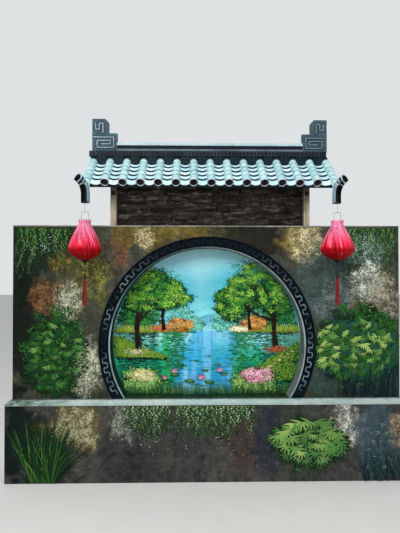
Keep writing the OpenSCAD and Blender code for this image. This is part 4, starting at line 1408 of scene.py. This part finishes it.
def band_relief(glaze):
    """Slanted ribs in two rows along the ridge's band, front and back."""
    pile = Pile()
    z0, z1 = BAND_LOW[2] + 0.004, BAND_HIGH[2] - 0.006
    middle = (z0 + z1) / 2
    half = (BAND_HIGH[1] - BAND_LOW[1]) / 2
    step = 0.034
    count = int((BAND_HIGH[0] - BAND_LOW[0] - 0.06) / step)
    for face in (-1, 1):
        out = face * (half + 0.003)
        for i in range(count):
            x = BAND_LOW[0] + 0.03 + i * step
            for a, b, lean in ((z0, middle - 0.002, 1), (middle + 0.002, z1, -1)):
                rings = []
                for z in (a, b):
                    left = x + lean * (z - middle)
                    rings.append([(left, face * half, z), (left + 0.004, out, z),
                                  (left + 0.010, out, z), (left + 0.014, face * half, z)])
                pile.add(*loft(rings))
    pile.piece("band_relief", glaze, slot="dark_glaze")


# Corner horns


def horn_stations():
    """The places along a horn: height, degrees of bend, collar outside, rib inside, and both shades."""
    stations = [(0.0, 0, 0, 0, 0.75, 0), (HORN_L, 0, 0, 0, 0.85, 0)]
    stations += [(HORN_L, a, 0, 0, 0.85, 0) for a in range(6, 31, 6)]
    for start, out, rib, inside in ((36, 0, 0.005, 1), (50, 0.002, 0.005, 1), (64, 0.002, 0.002, 0.3)):
        dark = 0.3 if out else 0.85
        stations += [
            (HORN_L, start - 1, 0, 0, dark, 0), (HORN_L, start - 0.4, out, rib, 0.9, inside),
            (HORN_L, start + 4, out, rib, 1.0, inside), (HORN_L, start + 4.4, 0, 0, dark, 0),
        ]
    return stations[:-1]


def horns(glaze):
    """The half round horns in front, pale outside, with two pale ribs across a near black hollow."""
    pile = Pile()
    lead = math.asin(HORN_LEAD / HORN_R)
    arc = np.linspace(-lead, math.pi + lead, 25)
    # Painted shade: the outward half of the skin is darker, and the hollow is near black apart from the pale
    # ribs.
    roof_side = np.clip(0.35 - 0.9 * np.cos(arc), 0.1, 1.0)
    shades = np.concatenate([roof_side, np.zeros(25)])
    for end in (-1, 1):
        rings, tints = [], []
        for height, degrees, out, rib, pale, inside in horn_stations():
            a = math.radians(degrees)
            section = [((HORN_R + out) * math.cos(q), (HORN_R + out) * math.sin(q)) for q in arc]
            inner = HORN_R - HORN_T - rib
            section += [(inner * math.cos(q), inner * math.sin(q)) for q in arc[::-1]]
            ring = []
            for across, deep in section:
                y = -HORN_BEND_R + (HORN_BEND_R + deep) * math.cos(a)
                z = height + (HORN_BEND_R + deep) * math.sin(a)
                px = across * math.cos(HORN_TURN) - y * math.sin(HORN_TURN)
                py = across * math.sin(HORN_TURN) + y * math.cos(HORN_TURN)
                ring.append((ROOF_X + end * (VERGE_X + px), -HORN_Y + py, HORN_Z + z))
            rings.append(ring)
            tints += [(pale * k + inside * (1 - k), 0, 0) for k in shades]
        points, faces = loft(rings)
        pile.add(points, faces, np.array(tints))
    pile.piece("horn_skins", glaze, slot="ornament_glaze", smooth=50, replaces=("corner_horns",))


def horn_glaze():
    s = Shader("horn_glaze", 0.5, 0.15)
    fine = s.noise(40, 5, 0.65)
    pale = s.tint_parts()[0]
    base = s.ramp(pale, (0.0, "#070b10"), (0.35, "#1a2731"), (0.85, "#7f9ba8"), (1.0, "#b9cdd4"))
    return s.grained(base, fine, 0.7, 1.2, 0.002, 0.4)


dress(ornament_glaze("ornament_ground", "#2c414c", "#405864"), "ridge_ornaments", bevel=0.003)
ornament_relief()
band_relief(dark_glaze("band_glaze", "#4c555c", "#182229"))
dress(dark_glaze("filler_glaze", "#07222a", "#020f14"), "ridge_saddle", "ridge_fillers")
dress(dark_glaze("band_ground", "#0c1824", "#04080d"), "ridge_band", bevel=0.003)
dress(cap_glaze(), "ridge_cap")
horns(horn_glaze())

# Posts, infill and timber


def timber(name, dark_code, light_code, direction="Z", worn=0.5, top=0):
    """Planed wood with its grain along one axis, darkened by painted shade above the height top if that is
    set.
    """
    s = Shader(name, 0.75, 0.15)
    along = {"X": (1.2, 26, 26), "Y": (26, 1.2, 26), "Z": (26, 26, 1.2)}[direction]
    grain = s.noise(1.6, 6, 0.62, s.stretched(*along), 0.6)
    pores = s.noise(6, 4, 0.7, s.stretched(*along))
    base = s.ramp(grain, (0.30, dark_code), (0.70, light_code))
    base = s.shaded(base, pores, 0.8, 1.12)
    stain = s.level(s.noise(5, 5, 0.6), 0.5, 0.7, 0.0, worn)
    base = s.mix(stain, base, "#3c342a")
    if top:
        # Painted shade above the height top.
        high = s.plus(s.axis("Z"), s.times(s.noise(9, 4), 0.16))
        base = s.over(base, "#33291d", high, top, top + 0.2, 0.8)
    return s.done(base, s.level(grain, 0.3, 0.7, 0.65, 0.85), s.bump(s.plus(grain, pores), 0.002, 0.4))


INFILL_LOW, INFILL_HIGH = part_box("brick_infill")
MOSS_LOW, MOSS_HIGH = 2.44, 2.58


def layered(s, base):
    """Pale broken ledges, and painted shade in dark hollows, that run along the courses."""
    ledge = s.noise(1.0, 6, 0.75, s.stretched(8, 8, 36))
    base = s.over(base, "#736a60", ledge, 0.54, 0.64, 0.7)
    base = s.over(base, "#0b0a09", ledge, 0.46, 0.36, 0.8)
    return base, ledge


def old_brick():
    """Dark broken brick, redder in places, with some moss at the foot, and painted light that brightens it
    towards the top.
    """
    s = Shader("old_brick", 0.95, 0.03)
    fine = s.noise(34, 6, 0.75)
    vary = s.tint_parts()[0]
    base = s.ramp(vary, (0.0, "#2b2625"), (0.4, "#40302b"), (0.7, "#393631"), (1.0, "#544741"))
    dark_patches = s.level(s.noise(3.5, 6, 0.7), 0.40, 0.58, 0.0, 0.75)
    base = s.mix(dark_patches, base, "#201f1e")
    base, ledge = layered(s, base)
    low = s.plus(s.axis("Z"), s.times(s.noise(5, 5, 0.7), 0.4))
    moss = s.times(s.level(low, MOSS_HIGH, MOSS_LOW), s.level(fine, 0.5, 0.6))
    base = s.mix(s.times(moss, 0.5), base, "#26291a")
    base = s.shaded(base, fine, 0.4, 1.7)
    # Painted light: the brick grows lighter towards its top, against the shade under the eave.
    painted_light_near_top = s.level(s.axis("Z"), INFILL_LOW[2] + 0.1, INFILL_LOW[2] + 0.35, 0.25, 0.9)
    base = s.shaded(base, painted_light_near_top, 1.0, 2.2)
    rough = s.plus(s.plus(fine, s.noise(220, 3)), s.times(ledge, 1.5))
    return s.done(base, normal=s.bump(rough, 0.010, 0.9))


def mortar():
    s = Shader("mortar", 0.95, 0.03)
    fine = s.noise(50, 6, 0.75)
    base = s.mottled(4, 4, "#2b2826", "#48423c")
    base, ledge = layered(s, base)
    return s.done(s.shaded(base, fine, 0.5, 1.6), normal=s.bump(s.plus(fine, ledge), 0.010, 0.9))


def brickwork():
    """Weathered bricks on both faces of the infill, some of them eaten far back."""
    random = np.random.default_rng(SEEDS["bricks"])
    pile, bed = Pile(), Pile()
    brick_l, brick_h, joint, depth = 0.180, 0.046, 0.008, 0.045
    least_l, most_eaten, uneven = 0.03, 0.008, 0.0045
    low, high = INFILL_LOW, INFILL_HIGH
    rows = int((high[2] - low[2]) / (brick_h + joint))
    step = (high[2] - low[2]) / rows
    sunk = 0.009
    bed.add(*brick((low[0], low[1] + sunk, low[2]), (high[0], high[1] - sunk, high[2]), 0.001))
    for face in (-1, 1):
        front = low[1] if face < 0 else high[1]
        for row in range(rows):
            z = low[2] + row * step + joint / 2
            x = low[0] - random.uniform(0.2, 0.8) * brick_l
            while x < high[0]:
                length = brick_l * random.uniform(0.45, 1.25)
                x0, x1 = max(x, low[0]), min(x + length, high[0])
                x += length + joint
                if x1 - x0 < least_l:
                    continue
                back = most_eaten * random.random() ** 2
                y0, y1 = sorted((front - face * back, front - face * depth))
                soft = random.uniform(0.006, 0.015)
                rise = random.normal(0, 0.004, 2) + 0.012 * math.sin(3.1 * x0 + 1.1 * row)
                points, faces = brick((x0, y0, z + rise[0]), (x1, y1, z + step - joint + rise[1]), soft)
                points = points + random.normal(0, uneven, points.shape)
                points = points.clip(low, high)
                pile.add(points, faces, (random.random(),) * 3)
    pile.piece("bricks", old_brick(), slot="brick")
    bed.piece("brick_mortar", mortar(), slot="brick", replaces=("brick_infill",))


brickwork()
# Painted shade darkens the posts' tops, under the eave.
dress(timber("post_timber", "#7f745f", "#bdb19a", top=2.50), "posts", bevel=0.003)
dress(timber("tie_timber", "#1f1a12", "#3d3222", "Y"), "tie_beams", bevel=0.002)
dress(timber("beam_timber", "#2b231a", "#463828", "X"), "eave_purlins", "ridge_beam", bevel=0.003)
dress(timber("rafter_timber", "#2b231a", "#463828", "Y"), "rafters")
dress(timber("deck_timber", "#1c1917", "#332b23", "X"), "roof_boards")
dress(timber("board_paint", "#0f191e", "#1c2b32", "X", 0.2), "fascia_boards", "gable_boards", bevel=0.002)

# Lanterns

SILK_SHAPE = [
    (0.34, 1.0), (0.40, 0.91), (0.53, 0.81), (0.76, 0.61), (0.93, 0.42),
    (1.0, 0.30), (0.945, 0.21), (0.79, 0.125), (0.54, 0.055), (0.33, 0.0),
]
RIBS = 8
SILK_LOW, SILK_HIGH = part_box("left_silk")
BELLY_R = (SILK_HIGH[0] - SILK_LOW[0]) / 2
SILK_Z, SILK_H = SILK_LOW[2], SILK_HIGH[2] - SILK_LOW[2]
SILK_T = 0.0006
GORE_POINTS = 22
RUFF_POINTS = 160
# How far the silk sinks between two ribs, as a share of its radius, and how deep it creases and gathers
SLACK = 0.07
CREASE = 0.010
GATHER = 0.0022
# How far the silk stays inside its solid
SILK_GAP = 0.0005


def smooth_profile(points, steps):
    """More points along a smooth curve through the given ones."""
    points = np.array(points, float)
    ends = np.vstack([2 * points[0] - points[1], points, 2 * points[-1] - points[-2]])
    made = []
    for i in range(1, len(ends) - 2):
        p0, p1, p2, p3 = ends[i - 1:i + 3]
        for k in range(steps):
            t = k / steps
            made.append(0.5 * (2 * p1 + (p2 - p0) * t + (2 * p0 - 5 * p1 + 4 * p2 - p3) * t ** 2
                               + (3 * p1 - p0 - 3 * p2 + p3) * t ** 3))
    made.append(points[-1])
    return np.array(made)


def silk():
    """Red satin, pink near the mouth, with dark woven figures on its upper half."""
    s = Shader("silk", 0.4, 0.08)
    z = s.axis("Z")
    fine = s.noise(60, 3, 0.6)
    share = s.level(z, SILK_Z, SILK_Z + SILK_H)
    # The ramp is partly the silk's own colour and partly painted light: paler towards the top, darker at the
    # foot.
    base = s.ramp(
        share,
        (0.0, "#8c0208"), (0.18, "#b80512"), (0.42, "#f02c4c"), (0.62, "#e85072"), (0.86, "#e87494"),
        (1.0, "#ee88aa"),
    )
    weave = s.wave(180, 0.5)
    place = s.stretched(1, 1, 0.62)
    flecks = s.level(s.noise(46, 3, 0.6, place, 1.6), 0.585, 0.64)
    high = s.level(share, 0.30, 0.62)
    base = s.mix(s.times(s.times(flecks, high), 0.75), base, "#2a0a1c")
    fold_light_and_shade = s.tint_parts()[0]
    # Painted shade and painted highlights of the folds, from the tint.
    base = s.over(base, "#6c0312", fold_light_and_shade, 0.34, 0.0, 0.7)
    base = s.over(base, "#f47c9c", fold_light_and_shade, 0.6, 1.0, 0.65)
    base = s.shaded(base, s.noise(14, 4, 0.6, s.stretched(1, 1, 0.4)), 0.72, 1.24)
    base = s.shaded(base, fine, 0.85, 1.12)
    return s.done(base, s.level(fine, 0.3, 0.7, 0.28, 0.45), s.bump(s.plus(weave, fine), 0.0006, 0.3))


def add_thickness(thing, thick):
    shell = thing.modifiers.new("thickness", "SOLIDIFY")
    shell.thickness = thick
    shell.offset = -1


def lantern_point(side, radius, angle, z):
    return (LANTERN_X[side] + radius * math.cos(angle), HANG_Y + radius * math.sin(angle), z)


def silk_skin(side, material):
    """The cover, tight over the ribs, slack and creased between them."""
    random = np.random.default_rng(SEEDS[side + " silk"])
    profile = smooth_profile(SILK_SHAPE, 6)
    around = RIBS * GORE_POINTS
    waves = [(random.uniform(9, 30), random.uniform(2, 16), random.uniform(0, 6.28)) for _ in range(9)]
    rings, tints = [], []
    for share_r, share_z in profile:
        ring = []
        for k in range(around):
            angle = 2 * math.pi * k / around
            between = abs(math.sin(RIBS / 2 * (angle - math.pi / RIBS)))
            slack = math.sin(math.pi * min(1, share_z + 0.12)) ** 0.5
            radius = share_r * BELLY_R * (1 - SLACK * between * slack)
            crease = sum(math.sin(angle * a + share_z * b + c) for a, b, c in waves) / len(waves)
            radius += CREASE * crease * between * slack
            gore = (angle * RIBS / (2 * math.pi) - 0.5) % 1
            # Painted light on the cover: a highlight along each gore, shade under the bulge and by the ribs.
            light = math.exp(-((gore - 0.4) / 0.2) ** 2) * min(1, max(0, share_z - 0.25) * 5)
            belly_shade = math.exp(-((share_z - 0.24 - 0.03 * crease) / 0.05) ** 2) * between
            seam_shade = math.exp(-(min(gore, 1 - gore) / 0.07) ** 2)
            fold_light_and_shade = 0.42 + light * (0.4 + 1.2 * crease) + 0.7 * crease - 0.5 * belly_shade - 0.3 * seam_shade
            tints.append((fold_light_and_shade, fold_light_and_shade, fold_light_and_shade))
            radius -= GATHER * (0.5 - 0.5 * math.cos(angle * RIBS * 5)) * max(0, share_z - 0.45)
            radius = min(radius, share_r * BELLY_R) - SILK_GAP
            ring.append(lantern_point(side, radius, angle, SILK_Z + share_z * SILK_H))
        rings.append(ring)
    cover = Pile()
    cover.add(*loft(rings, caps=False), np.clip(tints, 0, 1))
    skin = cover.piece(side + "_cover", material, body=side + "_lantern", slot="silk", smooth=60,
                       replaces=(side + "_silk",))
    add_thickness(skin, SILK_T)
    rings = []
    for rise, out in ((0.0, 0.0), (0.008, 0.004), (0.018, 0.001), (0.027, 0.006)):
        ring = []
        for k in range(RUFF_POINTS):
            angle = 2 * math.pi * k / RUFF_POINTS
            ruffle = math.sin(angle * RIBS * 2)
            radius = SILK_SHAPE[0][0] * BELLY_R + out + ruffle * rise * 0.16
            z = SILK_Z + SILK_H + rise * (0.75 + 0.25 * ruffle) - 0.002
            ring.append(lantern_point(side, radius, angle, z))
        rings.append(ring)
    collar = Pile()
    collar.add(*loft(rings, caps=False))
    ruff = collar.piece(side + "_collar", material, body=side + "_lantern", slot="silk", smooth=60)
    add_thickness(ruff, SILK_T)


# How far the cord hangs free, and how far it runs with the part of it inside the tassel
CORD_FREE = 0.075
CORD_LENGTH = 0.284
CORD_POINTS = 30
CORD_D = 0.002
BEAD_H = 0.022
THREADS = 230
THREAD_R = 0.0006
HEAD_R = 0.012
TASSEL_R = 0.0188


def tassel(side, thread):
    """A bead knot over a bundle of loose threads, on its cord."""
    x = LANTERN_X[side]
    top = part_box(side + "_finial")[0][2]
    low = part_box(side + "_tassel")[0][2]
    head = top - CORD_FREE
    random = np.random.default_rng(SEEDS["threads"])

    def place(across, deep, up):
        return (x + across, HANG_Y + deep, up)

    pile = Pile()
    neck = head - BEAD_H
    knot = [
        (0.0, head), (0.007, head - 0.001), (0.0095, head - 0.006), (0.006, head - 0.011),
        (0.009, head - 0.013), (0.0105, head - 0.018), (0.0085, neck), (0.0125, neck - 0.006),
        (0.0125, neck - 0.014), (0.0, neck - 0.014),
    ]
    pile.add(*turned(knot, 24, place), (0.10, 0.02, 0.02))
    for _ in range(THREADS):
        angle = random.uniform(0, 2 * math.pi)
        share = math.sqrt(random.random())
        end = low + random.uniform(0.0, 0.010)
        start = neck - 0.010
        spread = TASSEL_R * share
        bend = random.normal(0, 0.0012, 2)
        rings = []
        for k in range(7):
            t = k / 6
            radius = HEAD_R * share + (spread - HEAD_R * share) * min(1, t * 1.4) ** 0.8
            cx = radius * math.cos(angle) + bend[0] * math.sin(math.pi * t)
            cy = radius * math.sin(angle) + bend[1] * math.sin(math.pi * t)
            z = start + (end - start) * t
            rings.append([(x + cx + THREAD_R * math.cos(q), HANG_Y + cy + THREAD_R * math.sin(q), z)
                          for q in (0, math.pi / 2, math.pi, 3 * math.pi / 2)])
        pile.add(*loft(rings), (random.uniform(0.2, 0.9), 0.5, 0.5))
    hank = pile.piece(side + "_tassel_threads", thread, body=side + "_lantern", slot="thread", smooth=60,
                      replaces=(side + "_tassel",))
    curve = bpy.data.curves.new(side + "_cord", "CURVE")
    curve.dimensions = "3D"
    curve.bevel_depth = CORD_D / 2
    curve.bevel_resolution = 3
    line = curve.splines.new("POLY")
    line.points.add(CORD_POINTS - 1)
    for point, drop in zip(line.points, np.linspace(0, CORD_LENGTH, CORD_POINTS)):
        point.co = (x, HANG_Y, top - drop, 1)
    curve.materials.append(thread)
    cord = bpy.data.objects.new(side + "_cord", curve)
    scene.collection.objects.link(cord)
    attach(cord, side + "_lantern")
    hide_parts(side + "_tassel_cord")


def thread_material():
    s = Shader("thread", 0.65, 0.2, sheen=0.15)
    vary = s.tint_parts()[0]
    base = s.ramp(vary, (0.0, "#120405"), (0.15, "#1c0607"), (0.3, "#66181f"), (1.0, "#b4323c"))
    twist = s.wave(900, 1.0)
    return s.grained(base, twist, 0.8, 1.15, 0.0003, 0.4)


def wire_material():
    s = Shader("wire", 0.4, metallic=0.9)
    fine = s.noise(300, 3)
    return s.done(s.ramp(fine, (0.3, "#3c3d40"), (0.7, "#6d6f73")), s.level(fine, 0.3, 0.7, 0.3, 0.6))


def lacquer():
    s = Shader("lacquer", 0.45, 0.2)
    fine = s.noise(120, 3)
    return s.done(s.ramp(fine, (0.3, "#0c0909"), (0.7, "#1e1614")), s.level(fine, 0.3, 0.7, 0.38, 0.52))


silk_material = silk()
thread = thread_material()
for lantern_side in SIDES:
    tassel(lantern_side, thread)
    silk_skin(lantern_side, silk_material)
    dress(lacquer(), lantern_side + "_finial")
    dress(timber("bamboo", "#8f7a4c", "#c4ad78", "Z", 0.1), lantern_side + "_ribs")
    dress(timber("handle", "#4c463c", "#7d7566", "Z", 0.1), lantern_side + "_frame")
    dress(wire_material(), lantern_side + "_link")
dress(wire_material(), "lantern_hooks")

# Floor and light


def floor():
    s = Shader("floor", 0.9)
    fine = s.noise(3, 3)
    material = s.done(s.ramp(fine, (0.3, "#dcdad6"), (0.7, "#e0deda")))
    reach = 30.0
    mesh = bpy.data.meshes.new("floor")
    corners = [(x * reach, y * reach, -0.001) for x, y in ((-1, -1), (1, -1), (1, 1), (-1, 1))]
    mesh.from_pydata(corners, [], [(0, 1, 2, 3)])
    mesh.materials.append(material)
    made = bpy.data.objects.new("floor", mesh)
    scene.collection.objects.link(made)


def area_light(name, place, aim, size, power):
    lamp = bpy.data.lights.new(name, "AREA")
    lamp.size = size
    lamp.energy = power
    made = bpy.data.objects.new(name, lamp)
    made.location = place
    direction = np.array(aim, float) - np.array(place, float)
    flat = math.hypot(direction[0], direction[1])
    turn = math.atan2(direction[0], -direction[1]) + math.pi
    made.rotation_euler = (math.atan2(flat, -direction[2]), 0, turn)
    scene.collection.objects.link(made)


def surroundings():
    """An even pale sky for light, and a plain backdrop for the camera, mirrors and glass."""
    world = bpy.data.worlds.new("studio")
    scene.world = world
    world.use_nodes = True
    tree = world.node_tree
    tree.nodes.clear()
    output = tree.nodes.new("ShaderNodeOutputWorld")
    light = tree.nodes.new("ShaderNodeBackground")
    light.inputs["Color"].default_value = solid("#eef3f7")
    light.inputs["Strength"].default_value = 0.62
    plain = tree.nodes.new("ShaderNodeBackground")
    plain.inputs["Color"].default_value = solid("#dfe2e3")
    plain.inputs["Strength"].default_value = 1.0
    path = tree.nodes.new("ShaderNodeLightPath")
    seen = path.outputs["Is Camera Ray"]
    for kind in ("Is Glossy Ray", "Is Transmission Ray"):
        either = tree.nodes.new("ShaderNodeMath")
        either.operation = "MAXIMUM"
        tree.links.new(seen, either.inputs[0])
        tree.links.new(path.outputs[kind], either.inputs[1])
        seen = either.outputs[0]
    shown = tree.nodes.new("ShaderNodeMixShader")
    tree.links.new(seen, shown.inputs[0])
    tree.links.new(light.outputs[0], shown.inputs[1])
    tree.links.new(plain.outputs[0], shown.inputs[2])
    tree.links.new(shown.outputs[0], output.inputs["Surface"])


floor()
surroundings()
area_light("key", (-1.5, -5.0, 6.0), (0, 0, 1.6), 3.0, 330)
area_light("fill", (4.0, -5.0, 3.0), (0, 0, 1.4), 3.0, 50)
scene.view_settings.view_transform = "Standard"
